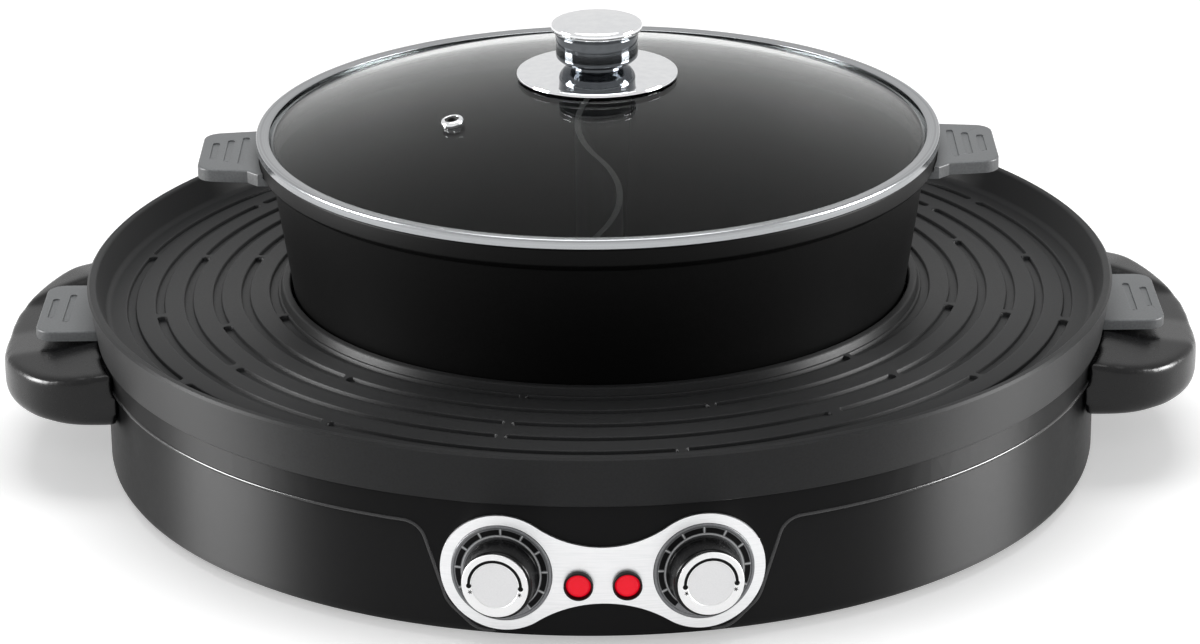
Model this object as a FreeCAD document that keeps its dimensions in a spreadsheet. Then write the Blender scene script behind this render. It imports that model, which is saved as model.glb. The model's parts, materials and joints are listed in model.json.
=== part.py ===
"""Electric hot pot with a ring griddle round it: the whole appliance, piece by piece.

Millimetres.  +Z is up, the origin is on the pot's axis at the level of the table, and
the control panel faces -Y.  Every size is a cell of the sheet "Sizes"; each sub-part is
an object of the document whose dimensions are expressions of those cells.
"""
import FreeCAD, Part
import Sketcher
import math
import os
import re

from FreeCAD import Rotation, Vector

SIZES = {
    # --- base drum -----------------------------------------------------------------
    "ground_gap": 3.0,            # underside of the drum above the table
    "base_radius": 216.0,
    "drum_height": 56.0,
    "drum_wall": 1.2,
    "drum_corner": 5.0,           # rounding of the drum's bottom edge
    "drum_lip": 26.0,             # width of the drum's turned-in bottom lip
    "skin_gap": 0.1,              # between curved neighbours that are screwed together
    "seat_gap": 0.3,              # between pieces that lift off one another
    "fit_gap": 0.2,               # between a piece and the hole that it passes through
    "overshoot": 5.0,             # how far a cutter runs past what it cuts
    # --- shoulder ring with the front apron ------------------------------------------
    "shoulder_wall": 1.1,
    "shoulder_skirt": 9.5,        # how far the ring hangs down over the drum
    "shoulder_rise": 2.5,
    "shoulder_flange": 7.0,
    "apron_gap": 2.5,             # from the drum's underside up to the apron's lower edge
    "apron_top_half": 73.4,       # half widths where it leaves the ring, lower down and at its foot
    "apron_mid_half": 63.0,
    "apron_mid_height": 14.0,
    "apron_low_half": 50.5,
    "apron_round": 12.0,
    "apron_flare": 8.0,           # the hollow round where its sides run out into the ring
    # --- bottom cover, feet and their screws -----------------------------------------
    "cover_inset": 11.0,
    "cover_plate": 1.5,
    "cover_rib_inset": 41.0,      # from the well's wall in to the rib that carries it
    "cover_rib": 4.0,
    "vent_count": 18,
    "vent_length": 34.0,
    "vent_width": 4.0,
    "vent_shift": 26.0,           # from the rib out to the middle of the vents
    "cover_screw_inset": 6.0,
    "cover_screw_count": 6,
    "foot_inset": 44.0,
    "foot_radius": 11.0,
    "foot_taper": 1.2,
    "foot_count": 4,
    "boss_radius": 4.5,
    "boss_height": 6.5,
    "screw_radius": 1.5,
    "screw_head_radius": 3.2,
    "screw_head": 1.3,
    "screw_fit": 0.05,            # radial play of a screw in the hole it bites
    "screw_short": 1.0,           # how far a screw's tip stays back in its boss
    "hole_play": 0.4,             # radial play of a clearance hole
    # --- reflector pan and heaters -----------------------------------------------------
    "reflector_sheet": 0.8,
    "trough_inset": 8.0,
    "trough_depth": 15.0,
    "well_clearance": 8.0,        # from the griddle's hole out to the well's wall
    "well_lift": 11.0,            # the well's floor above the drum's underside
    "tube_radius": 3.2,
    "leg_sleeve": 0.5,            # how much wider a coil's leg is than its tube
    "leg_play": 0.8,
    "griddle_coil_inset": 30.0,
    "pot_coil_inset": 30.0,
    "coil_leg_angle": 5.0,        # half the gap between a coil's two legs, degrees
    "pot_leg_angle": 10.0,
    "bracket_width": 9.0,
    "bracket_sheet": 2.0,
    "bracket_count": 6,
    "plate_inset": 34.6,          # the hot plate's edge in from the pot's
    "plate_lift": 9.0,
    "plate_height": 6.7,
    "plate_hole_radius": 22.0,
    "plate_leg_radius": 5.0,
    "plate_leg_inset": 12.0,
    "plate_leg_count": 3,
    "sensor_radius": 12.0,
    "sensor_foot": 4.0,
    "sensor_foot_height": 1.2,
    # --- control panel -----------------------------------------------------------------
    "knob_height": 29.3,          # the dials' axes above the drum's underside
    "fascia_thick": 1.2,
    "fascia_lobe_radius": 24.5,
    "fascia_lobe_offset": 40.0,
    "fascia_neck_half": 12.0,
    "dial_radius": 20.3,
    "dial_thick": 1.4,
    "thermostat_width": 26.0,
    "thermostat_height": 21.0,
    "thermostat_depth": 28.0,
    "thermostat_inset": 3.8,
    "bush_radius": 4.9,
    "bush_length": 4.4,
    "nut_radius": 7.2,
    "nut_thick": 2.5,
    "shaft_radius": 3.0,
    "shaft_play": 0.05,
    "shaft_root": 16.0,
    "knob_low": 1.6,
    "knob_skirt_radius": 15.2,
    "knob_skirt": 1.8,
    "knob_taper": 1.0,
    "knob_height_out": 11.8,
    "knob_edge": 1.2,
    "knob_cave_radius": 9.5,
    "knob_cave": 4.0,
    "knob_face_inset": 0.7,
    "knob_face_thick": 1.0,
    "knob_face_proud": 0.3,
    "lamp_offset": 9.6,
    "lamp_drop": 4.1,             # the lamps' axes below the dials'
    "bezel_lip": 2.4,
    "bezel_flange": 1.3,
    "bezel_barrel_radius": 4.6,
    "bezel_barrel": 12.0,
    "bezel_bore_radius": 3.5,
    "lens_radius": 4.9,
    "lens_seat": 0.3,
    "lens_edge": 0.6,
    "lens_dome": 0.5,
    "bulb_play": 0.5,
    "bulb_tail": 4.0,
    # --- side handles of the base --------------------------------------------------------
    "handle_reach": 44.0,
    "handle_tip_inset": 32.0,     # the flat tip starts this far in from the handle's ends
    "handle_shoulder_reach": 20.0,
    "handle_half": 66.0,
    "handle_root": 12.0,          # how far the handle's blank runs into the drum's side
    "handle_drop": 25.0,          # the handle's underside below the drum's top
    "handle_corner": 36.0,
    "handle_tip_round": 58.0,
    "handle_edge": 6.0,
    "handle_front_level": -1.0,   # levels of the top, from the drum's top, at its wall
    "handle_crease": 31.0,
    "handle_crease_level": 1.9,
    "handle_valley_level": 0.0,
    "handle_ridge_foot": 32.0,
    "handle_ridge_foot_level": 1.3,
    "handle_ridge": 38.0,
    "handle_ridge_level": 9.0,
    "handle_back_level": 6.3,
    "handle_front_fall": 0.09,
    "handle_back_fall": 0.15,
    "handle_fall": 0.144,         # drop of the top per millimetre outwards
    "handle_crown_level": 9.6,    # the crown that trims the ridge, over the drum's top at its wall
    "handle_crown_slope": 9.9,    # its drop over the whole reach: a straight share
    "handle_crown_bend": 5.9,     # and a share that grows with the cube of the way out
    "handle_rim_inset": 1.6,      # how far the handle reaches in under the griddle's rim
    "grip_back": 6.0,             # the finger recess starts this far inside the shoulder
    "grip_inset": 6.0,
    "grip_depth": 14.0,
    "grip_round": 7.0,
    "handle_screw_spread": 30.0,
    "handle_screw_rise": 8.0,
    "handle_screw_radius": 1.9,
    "handle_screw_length": 14.0,
    "handle_screw_head": 2.2,
    "handle_screw_head_radius": 4.0,
    # --- power inlet and wiring ------------------------------------------------------------
    "inlet_half": 24.0,
    "inlet_half_height": 12.0,
    "inlet_height": 27.0,         # the inlet's axis above the drum's underside
    "inlet_inside": 20.0,
    "inlet_proud": 10.0,
    "inlet_wall": 3.0,
    "inlet_socket_depth": 20.0,
    "inlet_flange_side": 9.0,
    "inlet_flange_edge": 3.0,
    "inlet_flange_thick": 3.0,
    "inlet_screw_side": 4.5,
    "inlet_screw_inside": 5.0,
    "pin_spread": 11.0,
    "pin_width": 2.0,
    "pin_height": 6.0,
    "pin_back": 5.0,
    "pin_tail_length": 9.0,
    "block_half": 22.0,
    "block_depth": 26.0,
    "block_height": 14.0,
    "wire_radius": 1.8,
    "wire_sleeve": 0.4,
    "wire_inset": 27.5,
    "fuse_radius": 2.5,
    "fuse_length": 18.0,
    "fuse_azimuth": 60.0,
    # --- ring griddle ----------------------------------------------------------------------
    "skirt_proud": 3.5,           # the griddle's skirt outside the drum
    "rim_flare": 3.5,
    "rim_height": 22.5,           # the rim's top above the shoulder
    "rim_lip": 3.7,
    "rim_edge": 1.0,
    "skirt_wall": 3.7,
    "plate_edge": 8.0,            # the rim's edge out from the plate's
    "rim_depth": 12.2,            # the plate's outer edge below the rim's top
    "plate_rise": 4.8,            # from the plate's outer edge up to its inner one
    "plate_thick": 4.0,
    "pot_clearance": 1.15,        # between the pot's wall and the griddle's collar
    "collar_wall": 3.5,
    "collar_foot": 1.0,
    "collar_height": 3.4,
    "groove_width": 4.6,
    "groove_depth": 1.5,
    "groove_margin": 10.7,        # from the plate's outer edge to the first groove
    "groove_inner_margin": 2.8,
    "groove_ring_count": 6,
    "groove_gap": 7.0,            # metal between the ends of two grooves, along the arc
    "groove_start": -13.0,        # azimuth of the first gap in the outer ring, degrees
    "ear_rise": 3.5,
    "ear_thick": 4.5,
    "ear_reach": 22.0,
    "ear_half": 29.0,
    "ear_root": 8.0,
    "ear_round": 8.0,
    "ear_edge": 0.8,
    "ear_skin": 1.3,
    "lug_reach": 15.0,
    "lug_half": 22.0,
    "lug_thick": 1.6,
    "lug_root": 2.0,
    "ear_slot_width": 3.0,
    "ear_slot_depth": 0.8,
    "ear_slot_margin": 5.3,
    "ear_slot_pitch": 7.1,
    "ear_slot_count": 2,
    "ear_slot_length": 24.0,
    "ear_slot_growth": 10.0,
    "ear_pit": 0.35,
    "ear_screw_radius": 1.2,
    "ear_screw_head_radius": 2.2,
    "ear_screw_head": 0.7,
    "ear_screw_out": 5.0,
    "ear_screw_spread": 10.0,
    # --- pot ---------------------------------------------------------------------------------
    "pot_high_radius": 141.4,
    "pot_flare": 14.8,
    "pot_height": 102.0,
    "pot_wall": 2.4,
    "pot_corner": 14.0,
    "brim_proud": 4.9,
    "brim_flare": 3.0,
    "brim_rise": 10.5,
    "brim_lip": 4.5,
    "brim_ledge_rise": 2.5,
    "divider_thick": 2.6,
    "divider_drop": 0.5,
    "divider_bow": 9.0,
    "divider_straight": 43.4,
    "divider_gap": 0.3,
    "pot_ear_rise": 5.0,
    "pot_ear_thick": 5.5,
    "pot_ear_reach": 25.7,
    "pot_ear_half": 27.0,
    "pot_ear_tip_draft": 3.0,
    "pot_ear_root_half": 32.0,
    "pot_ear_root_reach": 3.7,
    "pot_ear_root": 12.0,
    "pot_ear_skin": 1.6,
    "pot_lug_reach": 18.7,
    "pot_lug_half": 19.0,
    "pot_lug_thick": 2.0,
    "pot_ear_slot_margin": 6.0,
    "pot_ear_slot_pitch": 6.3,
    "pot_ear_slot_count": 3,
    "pot_ear_slot_length": 22.0,
    "pot_ear_slot_growth": 7.0,
    "pot_ear_screw_out": 9.7,
    # --- lid -----------------------------------------------------------------------------------
    "lid_proud": 1.2,             # the lid's rim outside the pot's brim
    "lid_rim_height": 4.2,
    "lid_rim_edge": 0.7,
    "lid_rim_dish": 0.6,
    "lid_rim_width": 5.5,
    "lid_sheet": 0.5,
    "lid_lip_play": 1.7,
    "lid_lip_depth": 2.0,
    "lid_lip_sheet": 0.6,
    "glass_edge_inset": 2.0,
    "glass_thick": 2.4,
    "dome_rise": 27.3,
    "dome_lift": 0.3,
    "dome_inset": 1.0,
    "flange_radius": 34.8,
    "flange_edge": 2.2,
    "flange_lip": 1.2,
    "flange_neck_radius": 12.5,
    "flange_height": 3.6,
    "flange_seat_radius": 14.0,
    "knob_neck_radius": 11.7,
    "knob_neck": 1.0,
    "knob_belly_radius": 15.6,
    "knob_belly": 0.8,
    "knob_barrel_radius": 17.7,
    "knob_swell": 1.6,
    "knob_barrel": 11.4,
    "cap_radius": 19.6,
    "cap_edge": 3.4,
    "cap_crown": 2.2,
    "lid_screw_radius": 2.9,
    "lid_screw_head_radius": 5.5,
    "lid_screw_head": 2.4,
    "lid_screw_back": 3.4,
    "washer_radius": 12.0,
    "washer_thick": 1.4,
    "vent_x": -61.0,
    "vent_y": -47.0,
    "vent_flange_radius": 4.9,
    "vent_height": 2.6,
    "vent_edge": 0.6,
    "vent_barrel_radius": 3.6,
    "vent_tail": 3.6,
    "grommet_radius": 3.0,
    "grommet_drop": 0.3,
    "vent_bore_radius": 1.9,
}

# What follows from the sizes: where each piece begins and ends.
PLACES = {
    "drum_top": "ground_gap + drum_height",
    "drum_inside": "base_radius - drum_wall",
    "drum_lip_radius": "base_radius - drum_lip",
    "shoulder_low": "drum_top - shoulder_skirt",
    "shoulder_top": "drum_top + shoulder_rise",
    "shoulder_inside": "base_radius + seat_gap",
    "shoulder_outside": "shoulder_inside + shoulder_wall",
    "shoulder_flange_radius": "base_radius - shoulder_flange",
    "apron_low": "ground_gap + apron_gap",
    "apron_mid_level": "ground_gap + apron_mid_height",
    "pot_low_radius": "pot_high_radius - pot_flare",
    "pot_slope": "pot_flare / pot_height",
    "skirt_radius": "base_radius + skirt_proud",
    "rim_radius": "skirt_radius + rim_flare",
    "rim_top": "shoulder_top + rim_height",
    "plate_outer": "rim_radius - plate_edge",
    "plate_outer_level": "rim_top - rim_depth",
    "plate_inner_level": "plate_outer_level + plate_rise",
    "collar_top": "plate_inner_level + collar_height",
    "well_floor": "ground_gap + well_lift",
    "well_top": "well_floor + reflector_sheet",
    "plate_low": "well_floor + plate_lift",
    "plate_top": "plate_low + plate_height",
    "pot_low": "plate_top + seat_gap",
    "pot_high": "pot_low + pot_height",
    "collar_radius": "pot_low_radius + (collar_top - pot_low) * pot_slope + pot_clearance",
    "plate_inner": "collar_radius + collar_wall + collar_foot",
    "plate_slope": "plate_rise / (plate_outer - plate_inner)",
    "well_radius": "collar_radius + well_clearance",
    "trough_radius": "base_radius - trough_inset",
    "trough_floor": "drum_top - trough_depth",
    "trough_top": "trough_floor + reflector_sheet",
    "cover_low": "ground_gap + drum_wall",
    "cover_top": "cover_low + cover_plate",
    "boss_top": "cover_top + boss_height",
    "cover_radius": "base_radius - cover_inset",
    "cover_rib_radius": "well_radius - cover_rib_inset",
    "vent_circle": "cover_rib_radius + vent_shift",
    "cover_screw_circle": "cover_radius - cover_screw_inset",
    "foot_circle": "base_radius - foot_inset",
    "griddle_coil_radius": "trough_radius - griddle_coil_inset",
    "plate_radius": "pot_low_radius - plate_inset",
    "plate_leg_circle": "plate_radius - plate_leg_inset",
    "pot_coil_radius": "plate_radius - pot_coil_inset",
    "panel_radius": "shoulder_outside + 2 * seat_gap",
    "knob_level": "ground_gap + knob_height",
    "knob_azimuth": "asin(fascia_lobe_offset / panel_radius) / 1 deg",
    "knob_top_radius": "knob_skirt_radius - knob_taper - knob_face_inset",
    "knob_top": "knob_low + knob_height_out",
    "knob_face_radius": "knob_top_radius - knob_face_inset",
    "knob_face_low": "knob_top - knob_face_thick + knob_face_proud",
    "dial_front": "dial_thick - seat_gap",
    "lamp_level": "knob_level - lamp_drop",
    "lamp_azimuth": "asin(lamp_offset / panel_radius) / 1 deg",
    "bezel_radius": "bezel_barrel_radius + bezel_flange",
    "bezel_seat": "fascia_thick - seat_gap",
    "bulb_radius": "bezel_bore_radius - bulb_play",
    "handle_tip": "base_radius + handle_reach",
    "handle_tip_half": "handle_half - handle_tip_inset",
    "handle_shoulder": "base_radius + handle_shoulder_reach",
    "handle_low": "drum_top - handle_drop",
    "grip_inner": "handle_shoulder - grip_back",
    "grip_top": "handle_low + grip_depth",
    "handle_screw_level": "handle_low + handle_screw_rise",
    "inlet_level": "ground_gap + inlet_height",
    "inlet_back": "base_radius - inlet_inside",
    "inlet_front": "base_radius + inlet_proud",
    "inlet_flange": "base_radius + inlet_flange_thick",
    "inlet_flange_half": "inlet_half + inlet_flange_side",
    "inlet_flange_half_height": "inlet_half_height + inlet_flange_edge",
    "inlet_screw_spread": "inlet_half + inlet_screw_side",
    "pin_tip": "inlet_front - pin_back",
    "pin_tail": "inlet_back - pin_tail_length",
    "block_back": "inlet_back - block_depth",
    "wire_circle": "base_radius - wire_inset",
    "groove_outer_radius": "plate_outer - groove_margin",
    "groove_pitch": "(groove_outer_radius - plate_inner - groove_inner_margin) / (groove_ring_count - 1)",
    "ear_top": "shoulder_top + ear_rise",
    "ear_low": "ear_top - ear_thick",
    "ear_tip": "rim_radius + ear_reach",
    "lug_tip": "rim_radius + lug_reach",
    "lug_low": "ear_top - ear_skin - skin_gap - lug_thick",
    "ear_slot_reach": "ear_tip - ear_slot_margin",
    "ear_screw_reach": "rim_radius + ear_screw_out",
    "brim_radius": "pot_high_radius + brim_proud",
    "brim_low": "pot_high + brim_flare",
    "brim_top": "pot_high + brim_rise",
    "brim_inner": "brim_radius - brim_lip",
    "brim_ledge": "pot_high + brim_ledge_rise",
    "divider_top": "pot_high - divider_drop",
    "divider_chord": "pot_high_radius - divider_straight",
    "pot_ear_top": "pot_high + pot_ear_rise",
    "pot_ear_low": "pot_ear_top - pot_ear_thick",
    "pot_ear_tip": "brim_radius + pot_ear_reach",
    "pot_ear_shoulder": "brim_radius + pot_ear_root_reach",
    "pot_lug_tip": "brim_radius + pot_lug_reach",
    "pot_lug_low": "pot_ear_top - pot_ear_skin - skin_gap - pot_lug_thick",
    "pot_ear_slot_reach": "pot_ear_tip - pot_ear_slot_margin",
    "pot_ear_screw_reach": "brim_radius + pot_ear_screw_out",
    "lid_low": "brim_top + seat_gap",
    "lid_radius": "brim_radius + lid_proud",
    "lid_rim_top": "lid_low + lid_rim_height",
    "lid_rim_inner": "lid_radius - lid_rim_width",
    "lid_rim_inner_level": "lid_rim_top - lid_rim_dish",
    "lid_lip_radius": "brim_inner - lid_lip_play",
    "lid_lip_low": "brim_top - lid_lip_depth",
    "glass_low": "lid_low + lid_sheet + skin_gap",
    "glass_edge_radius": "lid_radius - glass_edge_inset",
    "dome_radius": "glass_edge_radius - dome_inset",
    "glass_sphere": "(dome_radius ^ 2 + dome_rise ^ 2) / (2 * dome_rise)",
    "glass_top": "glass_low + dome_lift + dome_rise",
    "glass_centre": "glass_top - glass_sphere",
    "flange_neck_level": "glass_top + flange_height",
    "knob_neck_top": "flange_neck_level + knob_neck",
    "knob_belly_level": "knob_neck_top + knob_belly",
    "knob_barrel_level": "knob_belly_level + knob_swell",
    "knob_barrel_top": "knob_barrel_level + knob_barrel",
    "cap_top": "knob_barrel_top + cap_edge + cap_crown",
    "lid_screw_top": "knob_barrel_top - lid_screw_back",
    "washer_top": "glass_top - glass_thick - fit_gap - washer_radius ^ 2 / (2 * glass_sphere)",
}

doc = FreeCAD.newDocument("hot_pot")
sheet = doc.addObject("Spreadsheet::Sheet", "Sizes")
for row, (alias, value) in enumerate(SIZES.items(), start=1):
    sheet.set("A%d" % row, alias)
    sheet.set("B%d" % row, str(value))
    sheet.setAlias("B%d" % row, alias)
doc.recompute()

def word(names):
    """A pattern for any of the names, as a whole word."""
    return re.compile(r"\b(" + "|".join(sorted(names, key=len, reverse=True)) + r")\b")


SIZE_WORD, PLACE_WORD = word(SIZES), word(PLACES)
places = doc.addObject("Spreadsheet::Sheet", "Places")
for row, (alias, formula) in enumerate(PLACES.items(), start=1):
    places.set("A%d" % row, alias)
    places.set("B%d" % row, "=" + SIZE_WORD.sub(r"Sizes.\1", formula))
    places.setAlias("B%d" % row, alias)
doc.recompute()
nodes = []


def cells(text):
    """Turn bare names into references to the sheets: rim_top -> Places.rim_top."""
    return PLACE_WORD.sub(r"Places.\1", SIZE_WORD.sub(r"Sizes.\1", str(text)))


def bind(thing, **properties):
    """Bind properties to expressions; a double underscore stands for a dot."""
    for name, text in properties.items():
        thing.setExpression(name.replace("__", "."), cells(text))
    return thing


def keep(thing, label):
    """Mark an object as a sub-part: its label names the file."""
    thing.Label = label
    nodes.append(thing)
    return thing


# --- sketches and bodies -------------------------------------------------------------


def outline(sketch, corners):
    """A closed polygon; each corner is a pair of expressions from the sketch's origin."""
    count = len(corners)
    turn = 2 * math.pi / count
    start = [Vector(50 * math.cos(i * turn), 50 * math.sin(i * turn), 0) for i in range(count)]
    for i in range(count):
        sketch.addGeometry(Part.LineSegment(start[i], start[(i + 1) % count]))
    for i in range(count):
        sketch.addConstraint(Sketcher.Constraint("Coincident", i, 2, (i + 1) % count, 1))
    for i, (across, along) in enumerate(corners):
        for kind, at, text in (("DistanceX", start[i].x, across), ("DistanceY", start[i].y, along)):
            place = sketch.addConstraint(Sketcher.Constraint(kind, -1, 1, i, 1, at))
            sketch.setExpression("Constraints[%d]" % place, cells(text))


def new_sketch(body, plane, name, lift="0", turn="0"):
    """A sketch on one of the body's own planes, lifted along and turned about +Z."""
    sketch = body.newObject("Sketcher::SketchObject", name)
    face = [f for f in body.Origin.OriginFeatures if f.Role == plane][0]
    sketch.AttachmentSupport = (face, "")
    sketch.MapMode = "FlatFace"
    if plane == "XY_Plane":
        bind(sketch, AttachmentOffset__Base__z=lift)
    if turn != "0":
        spin = "create(<<rotation>>; 0; %s; 0)" % turn
        bind(sketch, AttachmentOffset="create(<<placement>>; vector(0; 0; 0); %s)" % spin)
    return sketch


def new_body(name):
    body = doc.addObject("PartDesign::Body", name)
    body.Label = name
    return body


def lathe(name, corners):
    """Turn an outline of (radius, height) corners about +Z."""
    body = new_body(name)
    sketch = new_sketch(body, "XZ_Plane", name + "_profile")
    outline(sketch, corners)
    turned = body.newObject("PartDesign::Revolution", name + "_turned")
    turned.Profile = (sketch, [""])
    turned.ReferenceAxis = (sketch, ["V_Axis"])
    turned.Angle = 360
    return body


def slab(name, corners, low, height):
    """Raise an outline of (x, y) corners from the level low by height."""
    body = new_body(name)
    sketch = new_sketch(body, "XY_Plane", name + "_plan", lift=low)
    outline(sketch, corners)
    pad = body.newObject("PartDesign::Pad", name + "_raised")
    pad.Profile = (sketch, [""])
    bind(pad, Length=height)
    return body


def soften(body, radius, wanted, label="round"):
    """Fillet the edges of the body's last feature that wanted() picks."""
    doc.recompute()
    base = body.Tip
    names = ["Edge%d" % (i + 1) for i, e in enumerate(base.Shape.Edges) if wanted(e)]
    fillet = body.newObject("PartDesign::Fillet", body.Name + "_" + label)
    fillet.Base = (base, names)
    bind(fillet, Radius=radius)
    return body


def upright(edge):
    """True for a straight edge parallel to Z."""
    ends = [v.Point for v in edge.Vertexes]
    if len(ends) != 2:
        return False
    return math.hypot(ends[0].x - ends[1].x, ends[0].y - ends[1].y) < 1e-6


def ring_at(radius, level):
    """A test for a full circle about Z of that radius and level."""
    def wanted(edge):
        curve = edge.Curve
        if not isinstance(curve, Part.Circle):
            return False
        return abs(curve.Radius - radius) < 1e-4 and abs(curve.Center.z - level) < 1e-4
    return wanted


def size(name):
    """The present value of a named cell, for picking edges and counting copies."""
    return (sheet if name in SIZES else places).get(name)


# --- primitives and booleans --------------------------------------------------------------


def cylinder(name, radius, low, height, x="0", y="0"):
    thing = doc.addObject("Part::Cylinder", name)
    bind(thing, Radius=radius, Height=height)
    bind(thing, Placement__Base__x=x, Placement__Base__y=y, Placement__Base__z=low)
    return thing


def box(name, x_low, x_size, y_low, y_size, z_low, z_size):
    thing = doc.addObject("Part::Box", name)
    bind(thing, Length=x_size, Width=y_size, Height=z_size)
    bind(thing, Placement__Base__x=x_low, Placement__Base__y=y_low, Placement__Base__z=z_low)
    return thing


def cut(name, base, *tools):
    thing = doc.addObject("Part::Cut", name)
    thing.Base = base
    thing.Tool = tools[0] if len(tools) == 1 else fuse(name + "_tools", *tools)
    return thing


def fuse(name, *pieces):
    thing = doc.addObject("Part::MultiFuse", name)
    thing.Shapes = list(pieces)
    return thing


def common(name, *pieces):
    thing = doc.addObject("Part::MultiCommon", name)
    thing.Shapes = list(pieces)
    return thing


def group(name, *pieces):
    """Separate solids that share one node."""
    thing = doc.addObject("Part::Compound", name)
    thing.Links = list(pieces)
    return thing


def place(thing, x="0", y="0", z="0", yaw="0", pitch="0", roll="0"):
    spin = "create(<<rotation>>; %s; %s; %s)" % (yaw, pitch, roll)
    spot = "create(<<vector>>; %s; %s; %s)" % (x, y, z)
    return bind(thing, Placement="create(<<placement>>; %s; %s)" % (spot, spin))


def on_panel(thing, azimuth, level, out="0"):
    """Stand a piece made along +Z out of the panel, at an azimuth from the front."""
    reach = "(panel_radius + %s)" % out
    return place(thing, x="%s * sin(%s)" % (reach, azimuth), y="-%s * cos(%s)" % (reach, azimuth),
                 z=level, yaw=azimuth, roll="90")


def round_about(maker, name, count, circle, start="0"):
    """Copies of a piece on a circle: maker(name, x, y) makes one."""
    copies = []
    for i in range(int(count)):
        at = "(%s + %s)" % (start, 360.0 * i / count)
        x = "%s * cos(%s)" % (circle, at)
        y = "%s * sin(%s)" % (circle, at)
        copies.append(maker("%s_%d" % (name, i + 1), x, y))
    return copies


def screw_up(name, x, y, low, head, head_radius, shank_radius, reach):
    """A screw driven upwards: its head from low, its shank up to the level reach."""
    face = "(%s)" % low
    top = cylinder(name + "_head", head_radius, face, head, x, y)
    shank = cylinder(name + "_shank", shank_radius, face, "%s - %s" % (reach, face), x, y)
    return fuse(name, top, shank)


SIDES = (("left", "-1"), ("right", "1"))


# --- drum, shoulder and bottom --------------------------------------------------------------


def make_drum():
    """Pressed steel drum with a turned-in bottom lip, pierced for all that goes through."""
    drum = lathe("drum_turned", [
        ("drum_lip_radius", "ground_gap"),
        ("base_radius", "ground_gap"),
        ("base_radius", "drum_top"),
        ("drum_inside", "drum_top"),
        ("drum_inside", "cover_low"),
        ("drum_lip_radius", "cover_low")])
    soften(drum, "drum_corner", ring_at(size("base_radius"), size("ground_gap")), "outer_round")
    soften(drum, "drum_corner - drum_wall",
           ring_at(size("drum_inside"), size("cover_low")),
           "inner_round")
    holes = panel_holes("drum")
    holes += round_about(
        lambda name, x, y: cylinder(name, "screw_radius + hole_play", "0", "boss_top", x, y),
        "drum_screw_hole", size("cover_screw_count"), "cover_screw_circle")
    for side, sign in SIDES:
        for spot in ("-1", "1"):
            holes.append(handle_screw_hole("drum_handle_hole_%s%s" % (side, spot), sign, spot,
                                           "handle_screw_radius + hole_play"))
    for spot in ("-1", "1"):
        hole = doc.addObject("Part::Cylinder", "drum_inlet_screw_hole" + spot)
        bind(hole, Radius="screw_radius + hole_play", Height="inlet_front - inlet_back")
        place(hole, x="%s * inlet_screw_spread" % spot, y="inlet_front", z="inlet_level", roll="90")
        holes.append(hole)
    holes.append(box("drum_inlet_hole", "-inlet_half - fit_gap", "2 * (inlet_half + fit_gap)",
                     "inlet_back", "inlet_front - inlet_back", "inlet_level - inlet_half_height - fit_gap",
                     "2 * (inlet_half_height + fit_gap)"))
    keep(cut("drum", drum, *holes), "base_drum")


def panel_holes(owner):
    """Holes along the panel's radial axes for the two bushes and the two lamps."""
    holes = []
    for side, sign in SIDES:
        for kind, azimuth, level, radius in (
                ("bush", "knob_azimuth", "knob_level", "bush_radius + fit_gap"),
                ("lamp", "lamp_azimuth", "lamp_level", "bezel_barrel_radius + fit_gap")):
            hole = doc.addObject("Part::Cylinder", "%s_%s_hole_%s" % (owner, kind, side))
            bind(hole, Radius=radius, Height="shaft_root + overshoot")
            on_panel(hole, "(%s * %s)" % (sign, azimuth), level, "-shaft_root")
            holes.append(hole)
    return holes


def handle_screw_hole(name, sign, spot, radius):
    """A hole along X for one of a handle's two screws."""
    hole = doc.addObject("Part::Cylinder", name)
    bind(hole, Radius=radius, Height="handle_screw_length + overshoot")
    place(hole, x="%s * (base_radius - overshoot)" % sign, y="%s * handle_screw_spread" % spot,
          z="handle_screw_level", pitch="%s * 90" % sign)
    return hole


def make_shoulder():
    """Black ring that the griddle stands on, with an apron that hangs down in front."""
    ring = lathe("shoulder_turned", [
        ("shoulder_flange_radius", "drum_top + reflector_sheet"),
        ("shoulder_inside", "drum_top + reflector_sheet"),
        ("shoulder_inside", "shoulder_low"),
        ("shoulder_outside", "shoulder_low"),
        ("shoulder_outside", "shoulder_top"),
        ("shoulder_flange_radius", "shoulder_top")])
    sleeve = lathe("apron_sleeve", [
        ("shoulder_inside", "apron_low"),
        ("shoulder_outside", "apron_low"),
        ("shoulder_outside", "shoulder_top - shoulder_rise"),
        ("shoulder_inside", "shoulder_top - shoulder_rise")])
    # The apron's outline is drawn lying down and stood up, to face the front.
    wide = "(apron_top_half + 2 * apron_flare)"
    plan = slab("apron_plan", [
        ("-" + wide, "shoulder_top"),
        ("-" + wide, "shoulder_low"),
        ("-apron_top_half", "shoulder_low"),
        ("-apron_mid_half", "apron_mid_level"),
        ("-apron_low_half", "apron_low"),
        ("apron_low_half", "apron_low"),
        ("apron_mid_half", "apron_mid_level"),
        ("apron_top_half", "shoulder_low"),
        (wide, "shoulder_low"),
        (wide, "shoulder_top")], "0", "rim_radius")
    ring_level = size("shoulder_low")
    soften(plan, "apron_round", lambda e: upright(e) and e.CenterOfMass.y < ring_level - 1e-3,
           "low_round")
    soften(plan, "apron_flare",
           lambda e: upright(e) and abs(e.CenterOfMass.y - ring_level) < 1e-3
           and abs(e.CenterOfMass.x) < size("apron_top_half") + 1e-3, "flare_round")
    place(plan, roll="90")
    apron = common("apron", sleeve, plan)
    keep(cut("shoulder", fuse("shoulder_whole", ring, apron), *panel_holes("shoulder")),
         "shoulder_ring")


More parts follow.
